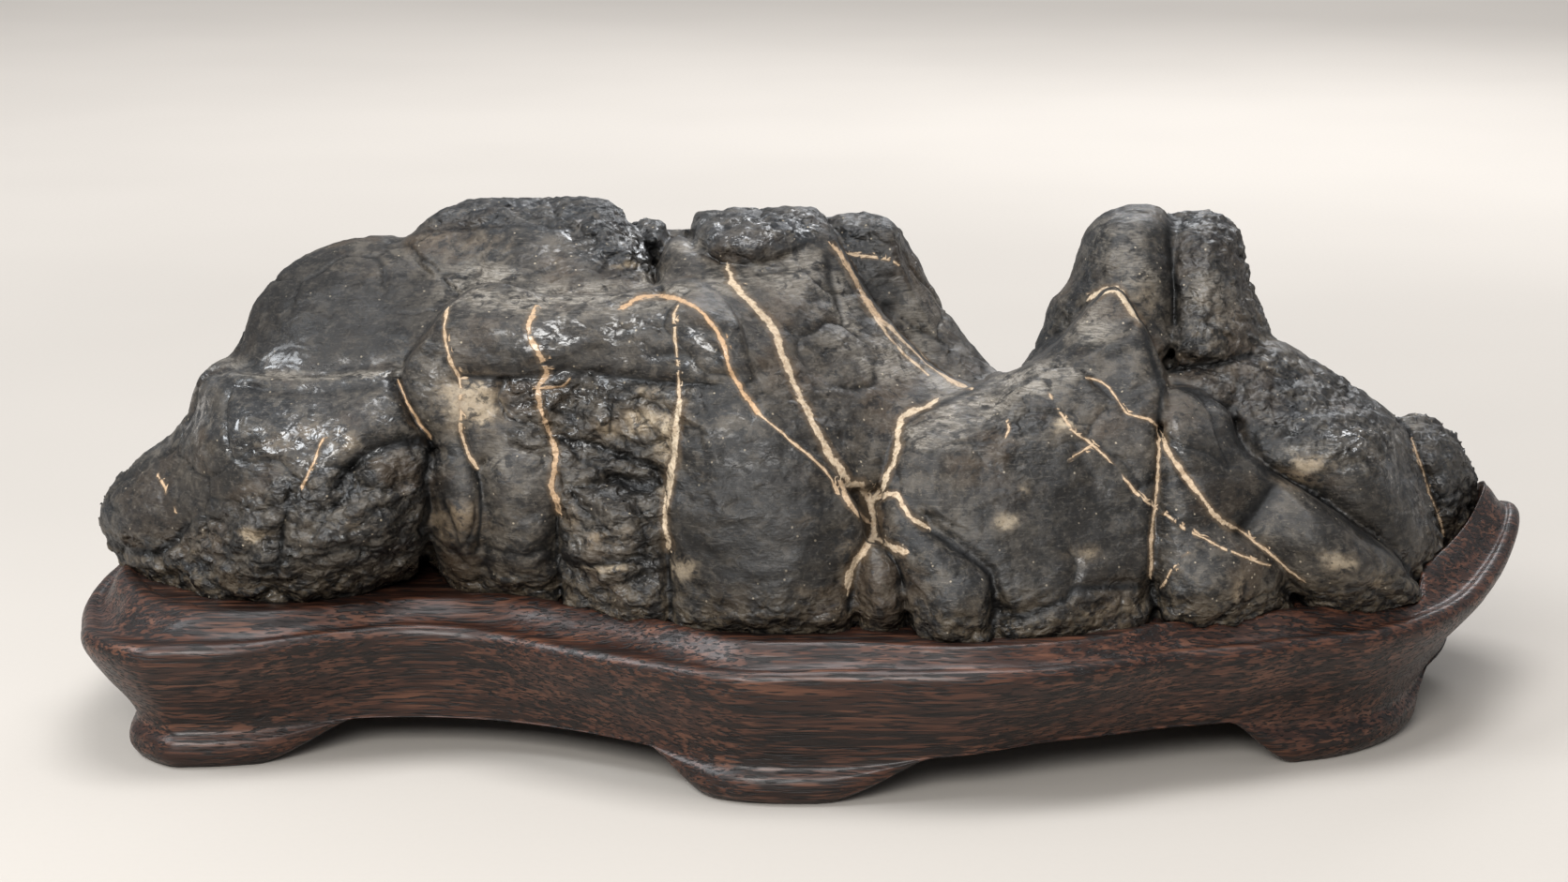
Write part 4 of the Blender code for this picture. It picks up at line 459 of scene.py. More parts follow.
# Broken faces of the stone, stepped in slanting ledges: outline in the picture, rise and ledge height.
BROKEN = {
    "left_face": ([(110, 560), (180, 565), (290, 512), (345, 505), (380, 488), (462, 470), (450, 640),
        (200, 650)], 3.0, 8.0),
    "middle_face": ([(540, 402), (760, 410), (712, 500), (712, 680), (592, 665), (592, 500), (545, 470)],
        2.2, 6.5),
}
LEDGE_SLANT = math.radians(24)
KNOB_FADE_PX, LEDGE_FADE_PX = 18, 20


def ledges(place_mm, size):
    """How proud slanting, broken ledges of a given height stand at a place, about none to one."""
    cos, sin = math.cos(LEDGE_SLANT), math.sin(LEDGE_SLANT)
    x, depth, z = place_mm
    along, up = (x * cos + z * sin) / (2.4 * size), (z * cos - x * sin) / size
    level = 2.6 * (noise.noise(Vector((along, depth / 12, up))) + 0.5)
    level += 1.1 * noise.noise(Vector((2.3 * along, depth / 5 + 9, 2.3 * up)))
    step = math.floor(level)
    rise = min(1.0, 3.2 * (level - step))
    return (step + rise * rise * (3 - 2 * rise)) / 2.6


def add_strokes(depth, at):
    """Presses the cracks and draws out the folds."""
    for line, width, drop in ALL_STROKES:
        line = np.array(line, float)
        near = np.flatnonzero(within(at, line, 40))
        away = line_distance(line, at[near]) * PX_MM
        depth[near] += drop * np.exp(-away / width)


def inner_spots(outline, depth, at, fade_px):
    """The stone's grid places in an outline, each with a strength that falls to none at its edge."""
    outline = np.array(outline, float)
    near = np.flatnonzero(within(at, outline) & np.isfinite(depth))
    fade = np.clip(inside_distance(outline, at[near]) / fade_px, 0, 1)
    return [(spot, strength) for spot, strength in zip(near, fade) if strength > 0]


def add_knobs(depth, at):
    """Raises the knobs of the wrinkled parts and the ledges of the broken faces."""
    for outline, rise, size in KNOBBLY.values():
        for spot, strength in inner_spots(outline, depth, at, KNOB_FADE_PX):
            where = Vector((*at[spot], depth[spot] / PX_MM)) * PX_MM / size
            cell = noise.voronoi(where)[0][0]
            depth[spot] += rise * strength * (cell * 1.6 - 0.6 - 0.5 * noise.noise(where * 0.45))
    for outline, rise, size in BROKEN.values():
        for spot, strength in inner_spots(outline, depth, at, LEDGE_FADE_PX):
            where = (at[spot, 0] * PX_MM, depth[spot], -at[spot, 1] * PX_MM)
            depth[spot] += rise * strength * (0.55 - ledges(where, size))


def rim_distance(solid, step):
    """For each grid place in the stone, its distance in millimetres from the nearest place outside it.

    The stone is taken to run on below its lowest places, so that its foot isn't rounded.
    """
    rows, columns = solid.shape
    grown = solid.copy()
    for column in range(columns):
        filled = np.flatnonzero(solid[:, column])
        if len(filled) and FOOT_PX[0] < GRID_PX[0] + column * step < FOOT_PX[1]:
            grown[filled[-1]:, column] = True
    padded = np.pad(grown, ((1, 0), (1, 1)))
    near = padded.copy()
    near[1:] |= padded[:-1]
    near[:-1] |= padded[1:]
    near[:, 1:] |= padded[:, :-1]
    near[:, :-1] |= padded[:, 1:]
    edge = np.argwhere(near & ~padded).astype(np.float32) - 1
    spots = np.argwhere(solid).astype(np.float32)
    nearest = np.empty(len(spots), np.float32)
    for start in range(0, len(spots), 4000):
        block = spots[start:start + 4000]
        nearest[start:start + 4000] = np.sqrt(((block[:, None] - edge[None]) ** 2).sum(-1).min(1))
    distance = np.zeros((rows, columns))
    distance[solid] = nearest * step * PX_MM
    return distance


def back_sheet(at):
    """The depth of the sheet behind at picture points."""
    return sheet_through(np.array(BACK_SHEET, float), at)


def back_depths(at, depth, rim):
    """The depth of the stone's back: a lumpy sheet, drawn in to the front along the silhouette."""
    sheet = back_sheet(at)
    lumps = [noise.noise(Vector((x / 95, y / 80, 3.0))) + 0.5 * noise.noise(Vector((x / 38, y / 34, 7.0)))
             for x, y in at]
    sheet += 5.0 * np.array(lumps)
    bulge = np.sqrt(1 - (1 - np.clip(rim / BACK_ROLL_MM, 0, 1)) ** 2)
    return depth + 1.6 + np.maximum(sheet - depth, 4.0) * bulge


def front_shell(step):
    """The stone as a closed mesh between the relief of its front and the sheet behind."""
    grid = picture_grid(step)
    at = grid.reshape(-1, 2)
    depth = relief(at)
    outline = np.array(OUTLINE, float)
    bare = ~np.isfinite(depth)
    bare[bare] = inside_distance(outline, at[bare]) > 0
    depth[bare] = back_sheet(at[bare]) - FILLING_MM
    add_strokes(depth, at)
    add_knobs(depth, at)
    depth = depth.reshape(grid.shape[:2])
    solid = np.isfinite(depth)
    rim = rim_distance(solid, step)
    depth = np.where(solid, depth, 0)
    back = back_depths(at, depth.reshape(-1), rim.reshape(-1)).reshape(depth.shape)
    depth += SILHOUETTE_ROLL_MM * rolled_back(rim / SILHOUETTE_ROLL_MM)
    front = place(grid[..., 0], grid[..., 1], depth)
    behind = place(grid[..., 0], grid[..., 1], np.maximum(back, depth + 1.2))
    mesh = bmesh.new()
    number = {}
    for side, points in ((0, front), (1, behind)):
        for row, column in np.argwhere(solid):
            number[side, row, column] = mesh.verts.new(points[row, column] * MM)
    rows, columns = solid.shape
    cells = solid[:-1, :-1] & solid[1:, :-1] & solid[:-1, 1:] & solid[1:, 1:]
    for row, column in np.argwhere(cells):
        ring = [(row, column), (row + 1, column), (row + 1, column + 1), (row, column + 1)]
        mesh.faces.new([number[0, a, b] for a, b in ring])
        mesh.faces.new([number[1, a, b] for a, b in reversed(ring)])
    twin = {number[0, row, column]: number[1, row, column] for row, column in np.argwhere(solid)}
    for edge in [edge for edge in mesh.edges if edge.is_boundary and edge.verts[0] in twin]:
        loop = edge.link_loops[0]
        a, b = loop.vert, loop.link_loop_next.vert
        mesh.faces.new([b, a, twin[a], twin[b]])
    loose = [vertex for vertex in mesh.verts if not vertex.link_faces]
    bmesh.ops.delete(mesh, geom=loose, context="VERTS")
    return mesh


def new_object(name, mesh):
    data = bpy.data.meshes.new(name)
    mesh.to_mesh(data)
    mesh.free()
    made = bpy.data.objects.new(name, data)
    bpy.context.scene.collection.objects.link(made)
    return made


def settle(thing):
    """Replaces an object's mesh with what its modifiers make of it."""
    graph = bpy.context.evaluated_depsgraph_get()
    data = bpy.data.meshes.new_from_object(thing.evaluated_get(graph))
    thing.modifiers.clear()
    thing.data = data


def add_modifier(thing, name, kind, **values):
    made = thing.modifiers.new(name, kind)
    for key, value in values.items():
        setattr(made, key, value)
    return made


def keep_largest(mesh):
    """Drops every loose piece of a mesh but the largest."""
    left = set(mesh.verts)
    pieces = []
    while left:
        start = left.pop()
        piece, edge = {start}, [start]
        while edge:
            for link in edge.pop().link_edges:
                for vertex in link.verts:
                    if vertex in left:
                        left.discard(vertex)
                        piece.add(vertex)
                        edge.append(vertex)
        pieces.append(piece)
    biggest = max(pieces, key=len)
    bmesh.ops.delete(mesh, geom=[vertex for vertex in mesh.verts if vertex not in biggest], context="VERTS")


def cut_level(thing, height_mm, keep_above=True):
    """Cuts an object off level at a height, closes the cut and keeps the largest piece."""
    mesh = bmesh.new()
    mesh.from_mesh(thing.data)
    everything = mesh.verts[:] + mesh.edges[:] + mesh.faces[:]
    level = Vector((0, 0, height_mm * MM))
    cut = bmesh.ops.bisect_plane(mesh, geom=everything, plane_co=level, plane_no=(0, 0, 1),
                                 clear_inner=keep_above, clear_outer=not keep_above)
    rim = [item for item in cut["geom_cut"] if isinstance(item, bmesh.types.BMEdge)]
    bmesh.ops.holes_fill(mesh, edges=rim, sides=0)
    bmesh.ops.triangulate(mesh, faces=mesh.faces[:])
    keep_largest(mesh)
    mesh.to_mesh(thing.data)
    mesh.free()


# The veins: layer, half width in millimetres, warmth from cream to orange, and the line in the picture.
# Veins near each other lie in different layers.
VEINS = [
    (0, 0.32, 0.38, [(478, 328), (473, 350), (476, 370), (482, 390), (490, 405), (492, 440), (491, 460),
        (500, 485), (507, 500)]),
    (1, 0.55, 0.6, [(570, 333), (563, 348), (567, 363), (577, 377), (583, 397), (573, 413), (576, 433),
        (582, 453), (587, 467), (592, 487), (588, 520), (592, 530), (597, 545)]),
    (2, 0.46, 0.75, [(663, 328), (680, 318), (700, 315), (720, 317), (740, 326), (753, 337), (763, 352),
        (770, 365), (775, 382), (782, 402), (793, 422), (808, 440)]),
    (2, 0.24, 0.45, [(808, 440), (830, 458), (853, 478), (873, 493), (888, 512), (893, 525)]),
    (0, 0.67, 0.19, [(777, 288), (780, 300), (790, 313), (802, 325), (817, 342), (828, 355), (833, 373),
        (842, 397), (850, 417), (863, 442), (873, 467), (885, 487), (897, 502), (903, 513)]),
    (0, 0.26, 0.26, [(722, 327), (718, 335), (718, 357), (722, 393), (723, 420), (725, 430)]),
    (0, 0.75, 0.08, [(725, 430), (722, 457), (718, 493), (715, 508)]),
    (0, 0.64, 0.15, [(715, 508), (713, 525), (708, 547), (708, 567), (713, 583)]),
    (1, 0.58, 0.52, [(890, 262), (898, 272), (905, 285), (913, 303), (923, 322), (940, 342)]),
    (1, 0.41, 0.34, [(940, 342), (955, 355), (973, 372), (985, 383), (1002, 398), (1017, 407),
        (1033, 413)]),
    (2, 0.24, 0.3, [(925, 325), (945, 355), (965, 380), (990, 400)]),
    (2, 0.24, 0.38, [(905, 270), (925, 273), (945, 277), (957, 280)]),
    (1, 0.58, 0.15, [(997, 427), (983, 435), (963, 443), (957, 457), (958, 475), (952, 493), (945, 507),
        (942, 518), (932, 533)]),
    (1, 0.72, 0.19, [(900, 518), (917, 516), (923, 523), (928, 535), (933, 550), (932, 570), (923, 587),
        (912, 600), (905, 613), (905, 625)]),
    (2, 0.52, 0.45, [(897, 515), (901, 530), (912, 545), (926, 556)]),
    (0, 0.58, 0.22, [(935, 575), (945, 580), (962, 588)]),
    (0, 0.49, 0.22, [(938, 530), (945, 527), (957, 528), (963, 538), (968, 548), (975, 555),
        (987, 563)]),
    (0, 0.58, 0.11, [(1165, 317), (1177, 310), (1190, 308), (1197, 315), (1203, 327), (1215, 343)]),
    (0, 0.24, 0.38, [(1118, 420), (1133, 445), (1147, 462), (1163, 473), (1180, 487), (1195, 507),
        (1213, 527), (1233, 543), (1260, 562), (1293, 579), (1320, 590), (1353, 603)]),
    (1, 0.24, 0.45, [(1165, 475), (1150, 483), (1140, 488)]),
    (1, 0.24, 0.38, [(1073, 448), (1077, 455), (1073, 465)]),
    (1, 0.24, 0.45, [(1160, 402), (1173, 405), (1183, 413), (1192, 427), (1203, 442), (1225, 447),
        (1235, 455)]),
    (2, 0.32, 0.34, [(1235, 458), (1237, 477), (1235, 500), (1232, 540), (1228, 567), (1227, 590),
        (1227, 613)]),
    (1, 0.49, 0.3, [(1237, 457), (1245, 477), (1255, 493), (1263, 505), (1272, 520), (1282, 533),
        (1292, 547), (1302, 555), (1313, 563)]),
    (1, 0.32, 0.38, [(1313, 563), (1327, 568), (1343, 580), (1362, 597), (1375, 610), (1390, 620)]),
    (1, 0.24, 0.45, [(1270, 588), (1258, 600), (1248, 611), (1240, 625)]),
    (1, 0.24, 0.6, [(347, 466), (335, 488), (328, 505), (322, 520)]),
    (0, 0.24, 0.52, [(165, 500), (178, 522), (188, 545)]),
    (0, 0.24, 0.45, [(1505, 470), (1520, 510), (1540, 570)]),
    (0, 0.24, 0.68, [(425, 408), (436, 432), (448, 452), (459, 466)]),
    (2, 0.24, 0.68, [(570, 415), (600, 412), (606, 405)]),
]

# Paler and browner stains: middle and half size in the picture, how strong, and how pale.
STAINS = [
    (505, 430, 32, 26, 1.0, 0.75), (270, 571, 22, 8, 0.8, 0.8), (386, 563, 24, 7, 0.5, 0.7),
    (487, 560, 28, 24, 0.8, 0.25), (646, 455, 14, 12, 0.7, 0.6), (683, 447, 20, 17, 0.9, 0.75),
    (690, 420, 13, 13, 0.7, 0.7), (712, 470, 12, 34, 0.9, 0.9), (710, 520, 12, 10, 0.8, 0.9),
    (648, 605, 28, 5, 0.9, 0.7), (728, 607, 15, 12, 0.9, 0.85), (1134, 452, 13, 9, 0.9, 0.9),
    (1072, 556, 12, 9, 1.0, 0.95), (1092, 523, 8, 6, 0.7, 0.9), (1153, 592, 17, 12, 0.7, 0.7),
    (1180, 650, 36, 10, 0.6, 0.55), (1322, 628, 9, 16, 0.7, 0.6), (1427, 600, 20, 13, 0.8, 0.75),
    (1467, 620, 13, 10, 0.7, 0.7), (1397, 495, 21, 11, 0.9, 0.7), (1380, 508, 40, 14, 0.6, 0.2),
    (1218, 322, 15, 22, 0.7, 0.85), (672, 283, 18, 4, 0.8, 0.8), (500, 255, 60, 14, 0.45, 0.3),
    (390, 290, 60, 20, 0.25, 0.4), (340, 470, 80, 26, 0.35, 0.55), (600, 330, 90, 9, 0.3, 0.5),
    (650, 575, 26, 16, 0.6, 0.3), (610, 550, 10, 26, 0.5, 0.3), (1140, 500, 60, 20, 0.15, 0.4),
    (860, 555, 14, 10, 0.5, 0.5), (905, 600, 14, 40, 0.5, 0.6), (870, 630, 26, 8, 0.4, 0.5),
    (1290, 340, 30, 40, 0.35, 0.5), (200, 590, 30, 12, 0.3, 0.6), (225, 577, 20, 16, 0.35, 0.3),
    (570, 375, 10, 22, 0.6, 0.4), (730, 440, 14, 40, 0.35, 0.6), (1460, 470, 40, 12, 0.2, 0.5),
]

# Where the stone shines most, and where it is blue black: middle and half size in the picture, and how
# much.
GLOSS = [
    (300, 440, 130, 55, 1.0), (660, 365, 110, 30, 0.9), (1440, 468, 60, 14, 0.9),
    (1275, 466, 34, 16, 0.8), (800, 470, 40, 30, 0.25), (590, 420, 60, 60, 0.7),
    (345, 405, 120, 10, 0.8), (1470, 540, 50, 60, 0.4), (1180, 590, 60, 60, 0.3),
    (640, 260, 60, 25, 0.7), (800, 250, 70, 30, 0.6), (460, 610, 60, 30, 0.7),
]
BLUE = [
    (560, 228, 120, 20, 1.0), (655, 262, 42, 30, 1.0), (695, 245, 22, 20, 1.0), (810, 243, 78, 28, 1.0),
    (925, 270, 34, 60, 1.0), (885, 300, 14, 34, 0.7), (1290, 265, 45, 50, 0.8), (1170, 260, 50, 50, 0.6),
    (1400, 430, 100, 34, 0.7), (1530, 500, 46, 60, 0.8), (300, 420, 120, 40, 0.5),
    (130, 570, 50, 40, 0.6), (1110, 350, 22, 30, 0.8), (600, 370, 130, 28, 0.6), (700, 350, 50, 30, 0.6),
]

# Paler places and darker smooth ones, in the same way. The paler ones are painted light on slopes that face
# the lamps and painted highlights along lit ridges, over a paler worn tone.
# The darker ones are painted shade on faces turned from the lamps and in recesses, over a darker tone.
LIT_AND_PALE = [
    (515, 306, 42, 22, 0.9), (610, 320, 95, 15, 1.0), (690, 308, 45, 14, 1.0), (735, 262, 20, 8, 0.6),
    (1085, 410, 40, 11, 1.0), (1040, 436, 42, 16, 1.0), (990, 462, 34, 18, 1.0), (1130, 396, 34, 8, 0.9),
    (1165, 352, 26, 14, 0.7), (1175, 335, 14, 16, 0.6), (780, 300, 28, 16, 0.6), (850, 290, 40, 24, 0.6),
    (905, 330, 30, 40, 0.6), (955, 385, 40, 22, 0.7), (1010, 408, 30, 8, 0.8), (985, 340, 22, 34, 0.4),
    (1190, 262, 28, 28, 0.4), (1215, 300, 20, 24, 0.6), (1290, 320, 24, 34, 0.5), (340, 400, 90, 5, 0.9),
    (235, 388, 24, 7, 0.5), (1500, 452, 16, 8, 0.4), (1060, 548, 46, 26, 0.3), (700, 430, 30, 14, 0.5),
    (480, 372, 16, 22, 0.3), (640, 575, 30, 20, 0.35), (550, 500, 30, 30, 0.3), (1395, 480, 30, 10, 0.5),
]
# Darker places: painted shade on faces turned from the lamps, under the shelf and in recesses, over the
# stone's own darker tone.
SHADED_AND_DARK = [
    (340, 335, 110, 52, 1.0), (810, 560, 90, 84, 1.0), (1130, 570, 100, 76, 0.8),
    (560, 385, 60, 14, 0.6), (680, 520, 40, 12, 1.0), (1310, 500, 50, 46, 0.7), (1440, 560, 60, 40, 0.7),
    (930, 300, 22, 46, 0.8), (850, 470, 40, 36, 0.6), (490, 530, 34, 34, 0.4), (200, 520, 60, 40, 0.4),
]


# The stand's rim seen from above: the lip's place and height, the crest's height, how far the waist draws
# in, how broad the ledge between lip and crest is, and how high the arch stands below.
RIM = [
    (-158, -42, 29.5, 37, 12, 1.6, 9), (-146, -53, 30, 37, 11, 1.7, 9),
    (-134, -54, 30.5, 37, 10, 1.25, 9), (-119, -52, 30.5, 37, 10, 1.0, 9),
    (-98, -45, 31.5, 37, 8, 0.7, 9.5), (-82, -42, 31.5, 37, 6, 1.0, 9.5),
    (-67, -44, 30.5, 37, 6, 1.3, 9.5), (-54, -52, 30.5, 37, 9, 1.5, 9.5),
    (-41, -59, 30.5, 37, 9, 1.6, 9.5), (-28, -66, 30.5, 37, 8, 1.3, 9.5),
    (-10, -73, 30.5, 37, 6, 0.8, 9.5), (14, -74, 31, 37, 6, 0.8, 10), (38, -76, 31.5, 37, 9, 0.6, 11),
    (58, -73, 31.5, 37, 12, 0.6, 12), (74, -67, 31.5, 37, 11, 0.6, 12), (87, -60, 31, 37, 9, 0.75, 12),
    (103, -56, 31, 37, 9, 1.0, 12), (118, -50, 31, 37, 9, 0.9, 11), (133, -45, 31, 37, 10, 1.0, 10),
    (148, -35, 31.5, 38, 12, 1.15, 10), (161, -20, 33, 40, 15, 1.1, 10), (172, 0, 37, 44, 17, 0.95, 10),
    (179, 19, 42, 49, 18, 0.85, 10), (179, 37, 40, 46, 17, 0.9, 10), (166, 52, 34, 40, 13, 1.0, 10),
    (148, 61, 31, 37.5, 10, 1.0, 10), (122, 67, 30, 37, 8, 1.0, 10), (90, 68, 30, 37, 8, 0.9, 10),
    (58, 71, 30, 37, 8, 0.8, 10), (22, 76, 30, 37, 8, 0.9, 10), (-14, 75, 30, 37, 8, 0.9, 10),
    (-50, 71, 30, 37, 8, 0.9, 10), (-84, 64, 30, 37, 8, 0.8, 10), (-116, 59, 30, 37, 9, 1.0, 10),
    (-142, 49, 30, 37, 10, 1.1, 10), (-158, 32, 30, 37, 12, 1.1, 10), (-164, 12, 29, 37, 13, 1.0, 10),
    (-165, -9, 28, 37, 14, 1.0, 9), (-162, -27, 28.5, 37, 13, 1.3, 9),
]
NECK_MM = 8.6
UNDERSIDE_MM = 14.0
SEAT_MM = 36.0

# The feet round the rim: where each one starts and ends, counted in places of the list above. Each foot
# comes down over a short run at either end, the first part of it outside the foot.
FEET = {
    "left": (-1.3, 3.9),
    "middle": (8.75, 11.6),
    "right": (16.2, 20.6),
    "back_right": (24.9, 27.3),
    "back_left": (32.3, 34.7),
}
FOOT_RUN = 1.15
FOOT_LEAD = 0.2
FOOT_DEPTH_MM = 15.0
PAD_BULGE_MM = 1.6

# Insets run square to the rim at first, and farther in towards a spine along the middle of the stand.
SQUARE_INSET_MM = 8.0
SPINE_MM = (-112.0, 122.0)


def joined(a, b, c, d, along):
    """A soft curve from b to c that comes from a and goes on to d."""
    bend, twist = 2 * a - 5 * b + 4 * c - d, 3 * b - a - 3 * c + d
    return 0.5 * (2 * b + (c - a) * along + bend * along**2 + twist * along**3)


def rim_at(turn):
    """The rim's values at a place along the list, smoothly joined."""
    rim = np.array(RIM, float)
    start = int(math.floor(turn))
    return joined(*(rim[(start + step) % len(rim)] for step in (-1, 0, 1, 2)), turn - start)


def foot_at(turn):
    """One where a foot stands, none under the arches between, with rounded ends."""
    share = 0.0
    for start, end in FEET.values():
        for lap in (0, len(RIM)):
            along = (min(turn - lap - start, end - turn + lap) + FOOT_LEAD) / FOOT_RUN
            share = max(share, min(1.0, max(0.0, along)))
    return (share * share * (3 - 2 * share)) ** 0.75


def stand_ring(turn):
    """One upright section of the stand, over the rim and down to the foot or arch: inset, height."""
    lip, crest, waist, ledge, arch = rim_at(turn)[2:]
    foot = foot_at(turn)
    bare = 1 - foot
    neck = arch * bare + NECK_MM * foot
    floor = arch * bare
    bulge = PAD_BULGE_MM * foot
    return [
        (13.0 * ledge, SEAT_MM), (11.3 * ledge, crest), (9.6 * ledge, crest - 0.3),
        (7.9 * ledge, crest - 1.9), (6.2 * ledge, 0.4 * crest + 0.6 * lip), (4.2 * ledge, lip + 1.2),
        (2.4, lip + 1.6), (1.0, lip + 1.0), (0.15, lip - 0.6), (0.2 + 0.03 * waist, lip - 2.8),
        (0.18 * waist, lip - 5.5), (0.48 * waist, lip - 10.5), (0.84 * waist, lip - 16.0),
        (waist + 0.2, neck + 0.6),
        (waist - bulge, neck * bare + (neck - 2.4) * foot),
        ((waist + 0.4) * bare + (waist - 1.2 * bulge) * foot, floor + 3.2 * foot),
        ((waist + 1.0) * bare + (waist - 0.4) * foot, floor + 0.9 * foot),
        ((waist + 2.4) * bare + (waist + 1.6) * foot, floor),
    ]


def rim_turns(segments):
    """Places along the rim, closer together where a foot starts or ends."""
    fine = np.linspace(0, len(RIM), 4000, endpoint=False)
    crowd = np.ones(len(fine))
    for ends in FEET.values():
        for end in ends:
            crowd += 1.6 * np.exp(-(((fine - end) / (0.6 * FOOT_RUN)) ** 2))
    share = np.r_[0, np.cumsum(crowd)]
    return np.interp(np.arange(segments) * share[-1] / segments, share, np.r_[fine, len(RIM)])


def inward_at(turn):
    """A place on the rim seen from above, the way square into the stand, and the way to its spine."""
    spot = rim_at(turn)[:2]
    beyond = rim_at(turn + 1.5)[:2] - rim_at(turn - 1.5)[:2]
    beyond /= np.linalg.norm(beyond)
    to_spine = np.array([min(max(spot[0], SPINE_MM[0]), SPINE_MM[1]), 0.0]) - spot
    return spot, np.array([-beyond[1], beyond[0]]), to_spine


def project(points_mm):
    """Picture points of places in millimetres."""
    away = points_mm - np.array(EYE_MM)
    cos, sin = math.cos(SIGHT_TILT), math.sin(SIGHT_TILT)
    reach = away[:, 1] * cos - away[:, 2] * sin
    up = away[:, 1] * sin + away[:, 2] * cos
    return np.stack([PICTURE_CENTRE[0] + PICTURE_FOCAL * away[:, 0] / reach,
                     PICTURE_CENTRE[1] - PICTURE_FOCAL * up / reach], 1)


def mesh_arrays(data):
    """The places and normals of a mesh's corners, in millimetres."""
    places = np.empty(len(data.vertices) * 3, np.float32)
    data.vertices.foreach_get("co", places)
    normals = np.empty(len(data.vertices) * 3, np.float32)
    data.vertex_normals.foreach_get("vector", normals)
    return places.reshape(-1, 3).astype(float) / MM, normals.reshape(-1, 3).astype(float)


def write_places(data, places):
    """Moves a mesh's corners to places in millimetres."""
    data.vertices.foreach_set("co", (places * MM).astype(np.float32).ravel())
    data.update()


def store(data, name, columns):
    """Keeps three values for each corner on a mesh, under a name that its material reads."""
    values = np.stack(columns, 1).astype(np.float32)
    data.attributes.new(name, "FLOAT_VECTOR", "POINT").data.foreach_set("vector", values.ravel())


def ray_tree(data):
    """A mesh made ready for rays."""
    return BVHTree.FromPolygons([vertex.co for vertex in data.vertices],
                                [face.vertices[:] for face in data.polygons])


def rolled(values, scale, shift):
    """Soft noise at places scaled down by the given lengths."""
    scaled = values / np.array(scale) + shift
    return np.array([noise.noise(Vector(spot)) for spot in scaled])


def scattered(values, size, shifts):
    """Soft noise of one size, once for each shift, as columns."""
    return np.stack([rolled(values, (size, size, size), shift) for shift in shifts], 1)


def knobbed(values, scale, shift):
    """Distance to the nearest of scattered middles: low in the middle of a knob, high at its edge."""
    scaled = values / np.array(scale) + shift
    return np.array([noise.voronoi(Vector(spot))[0][0] for spot in scaled])


CRACK_FALL = 0.045


def cracked(values, scale, shift):
    """Nearly one on the borders between scattered middles, falling off quickly away from them."""
    gaps = []
    for spot in values / np.array(scale) + shift:
        nearest, second = noise.voronoi(Vector(spot))[0][:2]
        gaps.append(second - nearest)
    return np.exp(-np.array(gaps) / CRACK_FALL)


def oval_reach(picture, x, y, wide, high):
    """How far out picture points lie in an oval, squared: none in its middle, one on its edge."""
    return ((picture[:, 0] - x) / wide) ** 2 + ((picture[:, 1] - y) / high) ** 2


def area_share(picture, ovals):
    """How much of each soft oval covers the picture points."""
    share = np.zeros(len(picture))
    for *oval, strength in ovals:
        share = np.maximum(share, strength * np.clip(1.35 - 0.7 * oval_reach(picture, *oval), 0, 1))
    return share


REGION_FADE_PX = 16


def region_share(picture, regions):
    """One inside the rough parts, fading to none over their edges."""
    share = np.zeros(len(picture))
    for outline, *_ in regions.values():
        inset = inside_distance(np.array(outline, float), picture)
        share = np.maximum(share, np.clip(inset / REGION_FADE_PX + 0.3, 0, 1))
    return share


# Where the front gives way to the back, and how high above its foot the stone is rough all round.
FRONT_MM, FRONT_FADE_MM = 40, 20
LOW_MM, LOW_FADE_MM = 15, 10

# Patterns that work the stone's skin: their lengths in millimetres along X, Y and Z, and their own shift.
SWELL = ((17, 17, 15), 3.0)
ROLL = ((6.5, 6.5, 6), 11.0)
RIPPLE = ((2.6, 2.6, 2.4), 23.0)
BEND = (9, (101.0, 103.0, 107.0))
GRITTY_PART = ((26, 26, 20), 149.0)
DENT = ((15, 15, 12), 109.0)
SHARD = ((6.5, 6.5, 4.5), 113.0)
FOOT_LAYER = ((11, 11, 3.4), 127.0)
SPLIT_PART = ((23, 23, 23), 131.0)
SPLIT = ((24, 24, 16), 137.0)
SMALL_SPLIT = ((8.5, 8.5, 5.0), 139.0)
KNOB = ((3.3, 3.3, 2.6), 5.0)
WRINKLE = ((2.4, 2.4, 1.3), 8.0)
LEDGE = ((8, 8, 4), 31.0)
CHIP = ((5.2, 5.2, 3.4), 37.0)
CRUMB = ((2.2, 2.2, 1.7), 41.0)
PIT = ((4.6, 4.6, 4.6), 53.0)


